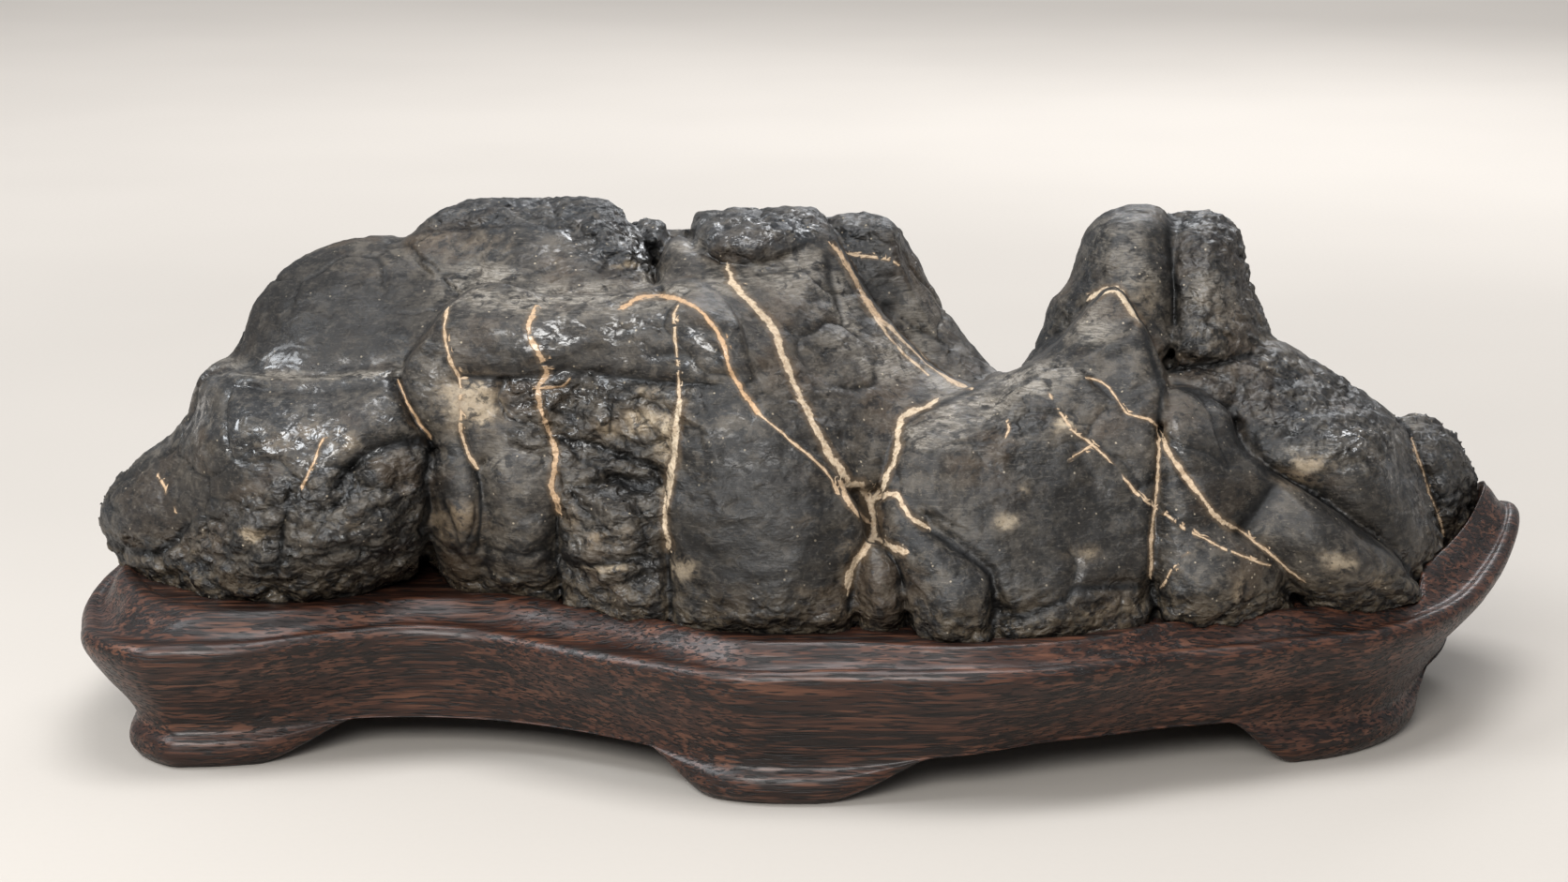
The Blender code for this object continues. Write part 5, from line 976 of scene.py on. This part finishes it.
def roughen(stone):
    """Works the stone's skin: swells all over, knobs on its caps, ledges and pits on its rough faces."""
    places, normals = mesh_arrays(stone.data)
    picture = project(places)
    front = np.clip((FRONT_MM - places[:, 1]) / FRONT_FADE_MM, 0, 1)
    back = 1 - front
    caps = region_share(picture, KNOBBLY)
    rough = region_share(picture, BROKEN) * front
    low = np.clip((STONE_FOOT_MM + LOW_MM - places[:, 2]) / LOW_FADE_MM, 0, 1)
    bent = places + 2.5 * scattered(places, *BEND)
    grit = np.maximum.reduce([rough, 0.9 * caps, 0.85 * low, 0.5 * back])
    grit = np.clip(grit + 0.5 * rolled(places, *GRITTY_PART) + 0.10, 0.06, 1)
    rise = 0.42 * rolled(places, *SWELL) + (0.10 + 0.36 * grit) * rolled(places, *ROLL)
    rise += (0.03 + 0.18 * grit) * rolled(places, *RIPPLE)
    rise += (0.35 + 1.2 * rough) * (np.minimum(knobbed(bent, *DENT), 0.75) ** 2 - 0.25)
    rise += (0.02 + 0.2 * grit + 0.9 * low + 0.5 * rough) * (0.35 - knobbed(bent, *SHARD))
    rise -= 1.1 * low * np.abs(rolled(bent, *FOOT_LAYER))
    open_part = np.clip(3.2 * rolled(places, *SPLIT_PART) + 0.25 + 0.8 * rough + 0.6 * low, 0, 1)
    split = cracked(bent, *SPLIT) * open_part
    rise -= 0.85 * split
    rise -= 0.55 * cracked(bent, *SMALL_SPLIT) * np.clip(rough + low - 0.1, 0, 1)
    lumpy = np.flatnonzero(caps > 0.02)
    knob = knobbed(places[lumpy], *KNOB)
    wrinkle = np.abs(rolled(places[lumpy], *WRINKLE))
    rise[lumpy] += caps[lumpy] * (0.75 - 1.15 * knob - 0.8 * wrinkle)
    jagged = np.flatnonzero(rough > 0.02)
    ledge = np.abs(rolled(places[jagged], *LEDGE))
    chip = knobbed(places[jagged], *CHIP)
    crumb = np.abs(rolled(places[jagged], *CRUMB))
    rise[jagged] += rough[jagged] * (0.9 - 1.9 * ledge + 0.6 * (0.5 - chip) - 0.75 * crumb)
    pitted = np.clip(0.25 + rough + 0.5 * caps + 0.4 * back, 0, 1)
    rise -= 0.45 * np.clip(1 - knobbed(places, *PIT) / 0.22, 0, 1) * pitted
    places += normals * rise[:, None]
    places[:, 2] = np.maximum(places[:, 2], STONE_FOOT_MM)
    store(stone.data, "grit", (grit, split, low))
    write_places(stone.data, places)


def signed_distance(line, at):
    """How far points lie from an open line, and minus one for those on its left."""
    nearest = np.full(len(at), np.inf)
    side = np.ones(len(at))
    for a, b in zip(line[:-1], line[1:]):
        step = b - a
        offset = offsets(a, b, at)
        away = np.linalg.norm(offset, axis=1)
        closer = away < nearest
        nearest[closer] = away[closer]
        turned = step[0] * offset[:, 1] - step[1] * offset[:, 0]
        side[closer] = np.where(turned[closer] < 0, -1.0, 1.0)
    return nearest, side


RAY_START_MM = 1.2
VEIN_LAYERS = 3
FAR_WIDTHS = 6.0

# How the marks stray from their drawn places: size in millimetres, shifts, and picture points.
WOBBLES = ((7, (61.0, 67.0), 2.2), (2.2, (71.0, 73.0), 1.2))


def seen_share(stone, places, normals):
    """One where the stone's surface can be seen from the front, none on hidden or grazing parts."""
    towards = np.array(EYE_MM) - places
    towards /= np.linalg.norm(towards, axis=1)[:, None]
    front = np.clip(((normals * towards).sum(1) - 0.04) / 0.16, 0, 1)
    tree = ray_tree(stone.data)
    starts = (places + RAY_START_MM * normals + RAY_START_MM * towards) * MM
    for spot in np.flatnonzero(front > 0):
        if tree.ray_cast(Vector(starts[spot]), Vector(towards[spot]))[0]:
            front[spot] = 0
    return front


def vein_marks(seen, front):
    """For each layer of veins, the distance from its lines in half widths, with and without a side."""
    across = np.full((len(seen), VEIN_LAYERS), FAR_WIDTHS)
    away = np.full((len(seen), VEIN_LAYERS), FAR_WIDTHS)
    warmth = np.zeros(len(seen))
    closest = np.full(len(seen), np.inf)
    for layer, half_width, warm, line in VEINS:
        line = np.array(line, float)
        near = np.flatnonzero(within(seen, line, 40) & (front > 0.02))
        if not len(near):
            continue
        distance, side = signed_distance(line, seen[near])
        widths = distance * PX_MM / half_width
        better = widths < away[near, layer]
        spots = near[better]
        away[spots, layer] = widths[better]
        across[spots, layer] = widths[better] * side[better]
        nearer = widths < closest[near]
        closest[near[nearer]] = widths[nearer]
        warmth[near[nearer]] = warm
    away += (1 - front)[:, None] * FAR_WIDTHS
    return across, np.minimum(away, 2 * FAR_WIDTHS), warmth


def stain_marks(seen, front):
    """How strong and how pale the stains are."""
    stain = np.zeros(len(seen))
    pale = np.zeros(len(seen))
    for *oval, strength, paleness in STAINS:
        share = strength * np.exp(-0.7 * oval_reach(seen, *oval)) * front
        stronger = share > stain
        stain[stronger] = share[stronger]
        pale[stronger] = paleness
    return stain, pale


def crack_shade_marks(picture, front, crack_shade):
    """Paints shade into the drawn cracks, besides the shade already painted along the skin's own splits."""
    for line, width, drop in ALL_STROKES:
        if drop <= 0:
            continue
        line = np.array(line, float)
        near = np.flatnonzero(within(picture, line, 30))
        gap = line_distance(line, picture[near]) * PX_MM
        shade_and_dark = front[near] * min(1, drop / 2.5) * np.exp(-((gap / (width * 0.8)) ** 2))
        crack_shade[near] = np.maximum(crack_shade[near], shade_and_dark)
    return crack_shade


def mark_stone(stone):
    """Stores on the mesh where the veins, stains, shine and cracks lie, with the light and shade painted on
    lit and shaded places and into the cracks.
    """
    places, normals = mesh_arrays(stone.data)
    picture = project(places)
    front = seen_share(stone, places, normals)
    seen = picture + sum(scattered(places, size, shifts) * stray for size, shifts, stray in WOBBLES)
    across, away, warmth = vein_marks(seen, front)
    stain, pale = stain_marks(seen, front)
    grit = np.empty(3 * len(places), np.float32)
    stone.data.attributes["grit"].data.foreach_get("vector", grit)
    # Painted shade follows the skin's own splits and the drawn cracks.
    crack_shade = crack_shade_marks(picture, front, 0.8 * grit[1::3].astype(float))
    blue = np.maximum(area_share(picture, BLUE), 0.35 * (1 - front))
    store(stone.data, "across", across.T)
    store(stone.data, "away", away.T)
    store(stone.data, "tint", (stain, pale, warmth))
    # Painted light on lit slopes and ridges and painted shade on faces turned from the lamps, both over the
    # stone's own tone and kept to the side in sight; then the foot's share.
    store(stone.data, "tone", (area_share(seen, LIT_AND_PALE) * front, area_share(seen, SHADED_AND_DARK) * front, grit[2::3]))
    store(stone.data, "area", (area_share(picture, GLOSS) * front, blue, crack_shade))


def build_scene_stone():
    """The stone's full surface: relief and back welded together, worked over and thinned."""
    stone = new_object("veined_stone", front_shell(RELIEF_STEP_PX))
    add_modifier(stone, "weld", "REMESH", mode="VOXEL", voxel_size=STONE_VOXEL_MM * MM)
    add_modifier(stone, "soften", "SMOOTH", factor=0.5, iterations=3)
    add_modifier(stone, "swell", "DISPLACE", strength=STONE_SWELL_MM * MM, mid_level=0.0)
    settle(stone)
    cut_level(stone, STONE_FOOT_MM)
    roughen(stone)
    share = STONE_TRIANGLES / sum(len(face.vertices) - 2 for face in stone.data.polygons)
    add_modifier(stone, "thin", "DECIMATE", ratio=min(1.0, share), use_collapse_triangulate=True)
    settle(stone)
    mark_stone(stone)
    return stone


def spline(values, at):
    """A soft curve through rows of values, read at places between them."""
    start = np.clip(np.floor(at).astype(int), 0, len(values) - 2)
    rows = [values[np.clip(start + step, 0, len(values) - 1)] for step in (-1, 0, 1, 2)]
    return joined(*rows, (at - start)[:, None])


STAND_ROWS = 92
SEAT_ROWS = 34
SCENE_SEGMENTS = 560
SEAT_CLEARANCE_MM = 0.5

# Above this height and farther in than this inset, the rim gives way to the stone as the seat does.
GIVING_HEIGHT_MM, GIVING_INSET_MM = 30, 5
SEAT_RAY_FROM_MM = 20.0

# The swells and the grain carved into the wood: lengths in millimetres and shift.
WOOD_SWELL = ((26, 12, 9), 83.0)
WOOD_GRAIN = ((7, 2.4, 1.6), 89.0)


def stand_section(turn, reach):
    """One section from the seat's middle over the rim to the underside: inset, height, in the seat."""
    section = stand_ring(turn)
    sole, floor = section[-1]
    depth = FOOT_DEPTH_MM * foot_at(turn)
    section += [(sole + 0.5 * depth + 0.5, floor), (sole + depth + 1.0, floor + 0.1),
                (sole + depth + 3.5, UNDERSIDE_MM)]
    section = spline(np.array(section), np.linspace(0, len(section) - 1, STAND_ROWS))
    section[:, 1] = np.maximum(section[:, 1], 0.0)
    start = section[0, 0]
    seat = [(start + (reach - start) * share**1.4, SEAT_MM, True)
            for share in np.linspace(1, 0, SEAT_ROWS, endpoint=False)]
    return seat + [(inset, height, False) for inset, height in section]


def build_scene_stand(stone):
    """The carved stand with its worked rim, its feet and a seat sunk to the stone's own foot."""
    tree = ray_tree(stone.data)
    mesh = bmesh.new()
    rings = []
    for turn in rim_turns(SCENE_SEGMENTS):
        spot, direction, to_spine = inward_at(turn)
        length = np.linalg.norm(to_spine)
        to_spine /= length
        corners = []
        for inset, height, seat in stand_section(turn, length - 1.0):
            shallow = min(inset, SQUARE_INSET_MM)
            there = spot + direction * shallow + to_spine * (inset - shallow)
            if seat or height > GIVING_HEIGHT_MM and inset > GIVING_INSET_MM:
                hit = tree.ray_cast(Vector((*there, SEAT_RAY_FROM_MM)) * MM, Vector((0, 0, 1)))[0]
                if hit:
                    height = min(height, hit.z / MM - SEAT_CLEARANCE_MM)
            corners.append(mesh.verts.new(Vector((*there, height)) * MM))
        rings.append(corners)
    for this, other in zip(rings, rings[1:] + rings[:1]):
        for row in range(len(this) - 1):
            mesh.faces.new([this[row], this[row + 1], other[row + 1], other[row]])
    mesh.faces.new([ring[0] for ring in rings])
    mesh.faces.new([ring[-1] for ring in reversed(rings)])
    bmesh.ops.recalc_face_normals(mesh, faces=mesh.faces[:])
    stand = new_object("carved_hardwood_stand", mesh)
    places, normals = mesh_arrays(stand.data)
    rise = 0.22 * rolled(places, *WOOD_SWELL) + 0.05 * rolled(places, *WOOD_GRAIN)
    rise *= np.clip((places[:, 2] - 0.3) / 2, 0, 1)
    places += normals * rise[:, None]
    places[:, 2] = np.maximum(places[:, 2], 0.0)
    write_places(stand.data, places)
    return stand


class Nodes:
    """Writes a material's node tree briefly."""

    def __init__(self, name):
        self.material = bpy.data.materials.new(name)
        self.material.use_nodes = True
        self.tree = self.material.node_tree
        self.surface = self.tree.nodes["Principled BSDF"]

    def link(self, value, socket):
        if isinstance(value, bpy.types.NodeSocket):
            self.tree.links.new(value, socket)
        elif isinstance(value, tuple) and len(value) == 3 and socket.type == "RGBA":
            socket.default_value = (*value, 1)
        else:
            socket.default_value = value

    def set(self, **values):
        """Gives the surface its values. Words in their names are joined by a low line."""
        for name, value in values.items():
            self.link(value, self.surface.inputs[name.replace("_", " ")])

    def add(self, kind, inputs=(), output=0, **settings):
        node = self.tree.nodes.new(kind)
        for key, value in settings.items():
            setattr(node, key, value)
        for key, value in dict(inputs).items():
            self.link(value, node.inputs[key])
        return node.outputs[output]

    def place(self, scale):
        """Object places scaled to the given lengths in millimetres."""
        where = self.add("ShaderNodeTexCoord", output="Object")
        return self.add("ShaderNodeMapping", {0: where, 3: tuple(1000.0 / size for size in scale)})

    def noise(self, scale, detail=3.0, roughness=0.55, bend=0.0):
        return self.add("ShaderNodeTexNoise", {"Vector": self.place(scale), "Scale": 1.0, "Detail": detail,
                                               "Roughness": roughness, "Distortion": bend})

    def cells(self, scale, output="Distance", **settings):
        inputs = {"Vector": self.place(scale), "Scale": 1.0}
        return self.add("ShaderNodeTexVoronoi", inputs, output=output, **settings)

    def math(self, kind, a, b=0.0, c=0.0, clamp=False):
        return self.add("ShaderNodeMath", {0: a, 1: b, 2: c}, operation=kind, use_clamp=clamp)

    def times(self, a, b):
        return self.math("MULTIPLY", a, b)

    def times_plus(self, a, b, c):
        return self.math("MULTIPLY_ADD", a, b, c)

    def most(self, a, b):
        """The greater of two values, or the second where there is no first."""
        return b if a is None else self.math("MAXIMUM", a, b)

    def ramp(self, value, low, high, start=0.0, end=1.0):
        """Value taken from low..high to start..end with soft ends."""
        return self.add("ShaderNodeMapRange", {0: value, 1: low, 2: high, 3: start, 4: end},
                        interpolation_type="SMOOTHSTEP")

    def mix(self, share, first, second):
        return self.add("ShaderNodeMix", {0: share, 6: first, 7: second}, output=2, data_type="RGBA",
                        clamp_factor=True)

    def stored(self, name):
        """The three values stored on the mesh under a name."""
        vector = self.add("ShaderNodeAttribute", output="Vector", attribute_name=name,
                          attribute_type="GEOMETRY")
        parts = self.tree.nodes.new("ShaderNodeSeparateXYZ")
        self.tree.links.new(vector, parts.inputs[0])
        return parts.outputs

    def bump(self, height, distance, strength=1.0, below=None):
        inputs = {"Height": height, "Distance": distance, "Strength": strength}
        if below is not None:
            inputs["Normal"] = below
        return self.add("ShaderNodeBump", inputs)


# The stone's colours: its dark body, what lies on it, the light and shade painted on it, and its stains and
# veins.
TONES = {
    "black": (0.0095, 0.0090, 0.0085), "grey": (0.030, 0.026, 0.022),
    "brown_grey": (0.058, 0.049, 0.038), "umber": (0.052, 0.036, 0.023),
    "dust_and_top_light": (0.100, 0.090, 0.078), "blue_black": (0.0130, 0.0150, 0.0178),
    "worn": (0.085, 0.074, 0.060), "worn_pale": (0.235, 0.213, 0.182),
    "shaded_smooth_dark": (0.0105, 0.0092, 0.0080), "foot": (0.095, 0.070, 0.042),
    "stain_brown": (0.100, 0.066, 0.036), "stain_pale": (0.350, 0.285, 0.200),
    "stain_edge": (0.066, 0.046, 0.030), "grain_pale": (0.105, 0.090, 0.072),
    "grain_dark": (0.0060, 0.0058, 0.0060), "fine_pale": (0.150, 0.130, 0.104),
    "fine_dark": (0.0060, 0.0056, 0.0056), "hair_pale": (0.140, 0.124, 0.104),
    "fleck": (0.300, 0.255, 0.190), "deep": (0.0045, 0.0040, 0.0036), "crack_shade": (0.0035, 0.0035, 0.0035),
    "cream": (0.500, 0.420, 0.310), "orange": (0.400, 0.225, 0.105), "rust": (0.200, 0.120, 0.060),
    "halo": (0.125, 0.085, 0.050),
}


def stone_body(n, middle, small, fine, hair):
    """The stone's colour without its veins: layer over layer, each with its share and its tone."""
    stain, pale = n.stored("tint")[:2]
    blue, crack_shade = n.stored("area")[1:]
    light, shade_and_dark, low = n.stored("tone")
    facing = n.add("ShaderNodeSeparateXYZ", {0: n.add("ShaderNodeNewGeometry", output="Normal")}, output=2)
    broad = n.noise((34, 34, 26), 4.0)
    umber = n.noise((18, 18, 15), 4.0)
    patchy = n.ramp(n.times_plus(small, 0.6, middle), 0.70, 0.88, 0.25, 1.0)
    ragged = n.times_plus(middle, 1.6, n.times_plus(small, 0.9, -1.27))
    ragged = n.times(n.math("ADD", stain, ragged), n.ramp(stain, 0.03, 0.3))
    stained = n.mix(pale, TONES["stain_brown"], TONES["stain_pale"])
    worn = n.mix(n.ramp(hair, 0.40, 0.60), TONES["worn"], TONES["worn_pale"])
    fleck = n.times(n.ramp(n.cells((2.3, 2.3, 2.3)), 0.15, 0.07),
                    n.ramp(n.cells((2.3, 2.3, 2.3), "Color"), 0.62, 0.66))
    colour = TONES["black"]
    for share, tone in (
            (n.ramp(broad, 0.42, 0.58), TONES["grey"]),
            (n.times(n.ramp(middle, 0.47, 0.60), 0.75), TONES["brown_grey"]),
            (n.times(n.ramp(umber, 0.52, 0.64), 0.6), TONES["umber"]),
            # Paler tops: painted top light where the surface faces up, with a little dust.
            (n.times(n.ramp(facing, 0.45, 0.95), n.ramp(middle, 0.42, 0.62, 0.0, 0.25)), TONES["dust_and_top_light"]),
            (n.times(blue, n.ramp(middle, 0.3, 0.6, 0.95, 0.55)), TONES["blue_black"]),
            # Painted light: a paler streaky tone on lit slopes and along lit ridges, partly the stone's
            # paler wear.
            (n.times(light, patchy), worn),
            # Painted shade: a darker smooth tone on faces turned from the lamps and in recesses, partly the
            # stone's own darker tone.
            (n.times(shade_and_dark, n.ramp(middle, 0.36, 0.62, 0.95, 0.6)), TONES["shaded_smooth_dark"]),
            (n.times(low, n.ramp(small, 0.46, 0.58, 0.0, 0.55)), TONES["foot"]),
            (n.ramp(ragged, 0.10, 0.70, 0.0, 0.5), n.mix(0.55, stained, TONES["stain_edge"])),
            (n.ramp(ragged, 0.46, 0.85, 0.0, 0.9), stained),
            (n.ramp(small, 0.53, 0.66, 0.0, 0.40), TONES["grain_pale"]),
            (n.ramp(small, 0.47, 0.36, 0.0, 0.80), TONES["grain_dark"]),
            (n.ramp(fine, 0.55, 0.70, 0.0, 0.34), TONES["fine_pale"]),
            (n.ramp(hair, 0.58, 0.68, 0.0, 0.34), TONES["hair_pale"]),
            (n.ramp(fine, 0.46, 0.32, 0.0, 0.42), TONES["fine_dark"]),
            (n.times(fleck, 0.8), TONES["fleck"]),
            # More painted shade, deepest on the same places.
            (n.times(shade_and_dark, 0.5), TONES["deep"]),
            # Painted shade in the cracks.
            (n.ramp(crack_shade, 0.15, 0.9, 0.0, 0.95), TONES["crack_shade"])):
        colour = n.mix(share, colour, tone)
    return colour


def vein_shares(n):
    """Where the veins and the stained stone beside them show, with ragged edges."""
    across, away = n.stored("across"), n.stored("away")
    ragged = n.times_plus(n.noise((3.8, 3.8, 3.8), 5.0, 0.7), 4.2, -2.1)
    halo = vein = None
    for layer in range(VEIN_LAYERS):
        distance = n.math("ABSOLUTE", across[layer])
        edge = n.most(n.math("ADD", distance, ragged), n.times(distance, 0.55))
        near = n.ramp(away[layer], 3.6, 2.6)
        vein = n.most(vein, n.times(n.ramp(edge, 1.30, 0.70), near))
        halo = n.most(halo, n.times(n.ramp(edge, 3.4, 0.9), near))
    return vein, halo


def stone_material():
    n = Nodes("dark_veined_stone")
    grit, shine, warmth = n.stored("grit")[0], n.stored("area")[0], n.stored("tint")[2]
    middle = n.noise((7, 7, 6), 6.0, 0.62)
    small = n.noise((3.2, 3.2, 2.6), 5.0, 0.62, 0.5)
    fine = n.noise((1.0, 1.0, 0.75), 4.0, 0.65)
    hair = n.noise((3.4, 3.4, 0.34), 3.0, 0.7, 0.8)
    vein, halo = vein_shares(n)
    cream = n.mix(warmth, TONES["cream"], TONES["orange"])
    cream = n.mix(n.ramp(fine, 0.35, 0.6), n.mix(0.5, cream, TONES["rust"]), cream)
    colour = n.mix(n.times(halo, 0.5), stone_body(n, middle, small, fine, hair), TONES["halo"])
    colour = n.mix(n.times(vein, n.ramp(fine, 0.25, 0.45, 0.6, 0.98)), colour, cream)

    wet = n.times(n.ramp(n.noise((9, 9, 4.5), 4.0, 0.6, 0.8), 0.44, 0.60),
                  n.times_plus(shine, 0.9, n.times(grit, 0.22)))
    dull = n.math("SUBTRACT", n.ramp(fine, 0.3, 0.7, 0.42, 0.60), n.times(wet, 0.30))
    dull = n.math("ADD", dull, n.times(vein, 0.12), clamp=True)

    # Each layer of the skin's relief: its height, how much of it is left on smooth parts, how deep in metres
    # and how strong.
    normal = None
    for height, least, depth, strength in (
            (n.noise((9, 9, 6.5), 1.0, 0.4, 0.5), 0.35, 0.0046, 0.8),
            (n.cells((6.5, 6.5, 4.5), feature="SMOOTH_F1"), 0.10, 0.0020, 0.8),
            (n.noise((3.2, 3.2, 2.2), 1.0, 0.4, 0.8), 0.14, 0.0016, 0.8),
            (n.noise((1.3, 1.3, 0.9), 1.0, 0.4, 0.5), 0.25, 0.00036, 0.7)):
        height = n.times(n.math("SUBTRACT", height, 0.5), n.times_plus(grit, 1.0 - least, least))
        normal = n.bump(height, depth, strength, normal)
    normal = n.bump(vein, 0.00025, 0.6, normal)
    n.set(Base_Color=colour, Roughness=dull, Specular_IOR_Level=0.30, Coat_Weight=wet, Coat_Roughness=0.16,
          Coat_Normal=normal, Normal=n.bump(hair, 0.00010, 0.5, n.bump(fine, 0.00016, 0.5, normal)))
    return n.material


def wood_material():
    n = Nodes("dark_lacquered_hardwood")
    band = n.noise((90, 8.0, 5.5), 3.0, 0.5, 0.5)
    grain = n.noise((30, 2.0, 1.25), 3.0, 0.6, 0.4)
    pore = n.noise((7.5, 0.85, 0.50), 1.5, 0.5, 0.3)
    streak = n.noise((44, 3.4, 2.1), 3.0, 0.6, 0.4)
    colour = n.mix(n.ramp(band, 0.42, 0.58), (0.0075, 0.0033, 0.0023), (0.024, 0.0095, 0.0060))
    colour = n.mix(n.ramp(grain, 0.48, 0.60, 0.0, 0.85), colour, (0.066, 0.0255, 0.0145))
    colour = n.mix(n.ramp(streak, 0.55, 0.66, 0.0, 0.65), colour, (0.115, 0.048, 0.027))
    colour = n.mix(n.ramp(pore, 0.50, 0.40, 0.0, 0.95), colour, (0.0030, 0.0015, 0.0012))
    normal = n.bump(n.ramp(pore, 0.32, 0.46), 0.00016, 0.7)
    normal = n.bump(grain, 0.00018, 0.5, normal)
    normal = n.bump(n.noise((9, 3, 2.2), 2.0), 0.0006, 0.35, normal)
    n.set(Base_Color=colour, Roughness=n.ramp(pore, 0.34, 0.52, 0.60, 0.40), Specular_IOR_Level=0.32,
          Coat_Weight=0.12, Coat_Roughness=0.24, Normal=normal)
    return n.material


def paper_material(name, colour, grain):
    """A plain warm ground, a little paler far away."""
    n = Nodes(name)
    soft = n.noise((420, 420, 420), 3.0)
    paper = n.noise((1.6, 1.6, 1.6), 3.0)
    far = n.add("ShaderNodeVectorMath", {0: n.add("ShaderNodeTexCoord", output="Object")}, output=1,
                operation="LENGTH")
    tone = n.mix(n.ramp(far, 0.25, 1.35), colour, tuple(1.85 * part for part in colour))
    tone = n.mix(n.ramp(soft, 0.35, 0.65, 0.0, 0.05), tone, (0.0, 0.0, 0.0))
    tone = n.mix(n.ramp(paper, 0.4, 0.7, 0.0, grain), tone, tuple(0.8 * part for part in colour))
    n.set(Base_Color=tone, Roughness=0.85, Specular_IOR_Level=0.2)
    return n.material


FLOOR_REACH_MM = 4500.0
FLOOR_COLOUR = (0.445, 0.413, 0.376)


def build_floor():
    """A wide pale floor."""
    mesh = bmesh.new()
    mesh.faces.new([mesh.verts.new(Vector((x * FLOOR_REACH_MM, y * FLOOR_REACH_MM, 0)) * MM)
                    for x, y in ((-1, -1), (1, -1), (1, 1), (-1, 1))])
    floor = new_object("floor", mesh)
    floor.data.materials.append(paper_material("warm_paper", FLOOR_COLOUR, 0.05))
    return floor


def soft_light(name, place_mm, aim_mm, size_mm, power, colour):
    data = bpy.data.lights.new(name, "AREA")
    data.shape = "RECTANGLE"
    data.size, data.size_y = (side * MM for side in size_mm)
    data.energy = power
    data.color = colour
    light = bpy.data.objects.new(name, data)
    light.location = Vector(place_mm) * MM
    light.rotation_mode = "QUATERNION"
    light.rotation_quaternion = (Vector(aim_mm) - Vector(place_mm)).to_track_quat("-Z", "Y")
    bpy.context.scene.collection.objects.link(light)


SENSOR_MM = 36.0


def build_camera():
    data = bpy.data.cameras.new("view")
    data.sensor_width = SENSOR_MM
    data.lens = PICTURE_FOCAL * SENSOR_MM / (2 * PICTURE_CENTRE[0])
    data.clip_start = 0.01
    camera = bpy.data.objects.new("view", data)
    camera.location = (Vector(EYE_MM) - Vector(MIDDLE_MM)) * MM
    camera.rotation_euler = (math.pi / 2 - SIGHT_TILT, 0, 0)
    bpy.context.scene.collection.objects.link(camera)
    bpy.context.scene.camera = camera


# How bright the room is, from below the horizon to overhead.
ROOM_RANGE = (-0.1, 0.9, 0.30, 0.62)
ROOM_COLOUR = (0.97, 0.98, 1.0, 1)


def build_light():
    """A dim room that is brighter overhead, a window high on the left and soft lights round the stone."""
    world = bpy.data.worlds.new("room")
    world.use_nodes = True
    tree = world.node_tree
    where = tree.nodes.new("ShaderNodeTexCoord")
    parts = tree.nodes.new("ShaderNodeSeparateXYZ")
    height = tree.nodes.new("ShaderNodeMapRange")
    height.interpolation_type = "SMOOTHSTEP"
    for socket, value in zip(height.inputs[1:5], ROOM_RANGE):
        socket.default_value = value
    tree.links.new(where.outputs["Generated"], parts.inputs[0])
    tree.links.new(parts.outputs[2], height.inputs[0])
    tree.links.new(height.outputs[0], tree.nodes["Background"].inputs[1])
    tree.nodes["Background"].inputs[0].default_value = ROOM_COLOUR
    bpy.context.scene.world = world
    bpy.context.scene.view_settings.view_transform = "Standard"
    soft_light("window", (-700, -250, 760), (0, 0, 60), (420, 300), 6.0, (0.92, 0.96, 1.0))
    soft_light("back", (300, 1000, 700), (0, 0, 60), (500, 300), 4.0, (0.95, 0.97, 1.0))
    soft_light("front", (-260, -1050, 640), (0, 0, 40), (620, 340), 14.0, (1.0, 0.99, 0.97))
    soft_light("overhead", (60, -80, 1300), (0, -20, 0), (760, 520), 12.0, (0.97, 0.98, 1.0))


def dress(piece, material, node):
    piece.data.transform(Matrix.Translation(Vector(MIDDLE_MM) * -MM))
    piece.data.materials.clear()
    piece.data.materials.append(material)
    piece.data.shade_smooth()
    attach(piece, "root")
    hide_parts(node)


stone = build_scene_stone()
stand = build_scene_stand(stone)
dress(stone, stone_material(), "scholars_rock")
dress(stand, wood_material(), "carved_stand")
build_floor()
build_light()
build_camera()
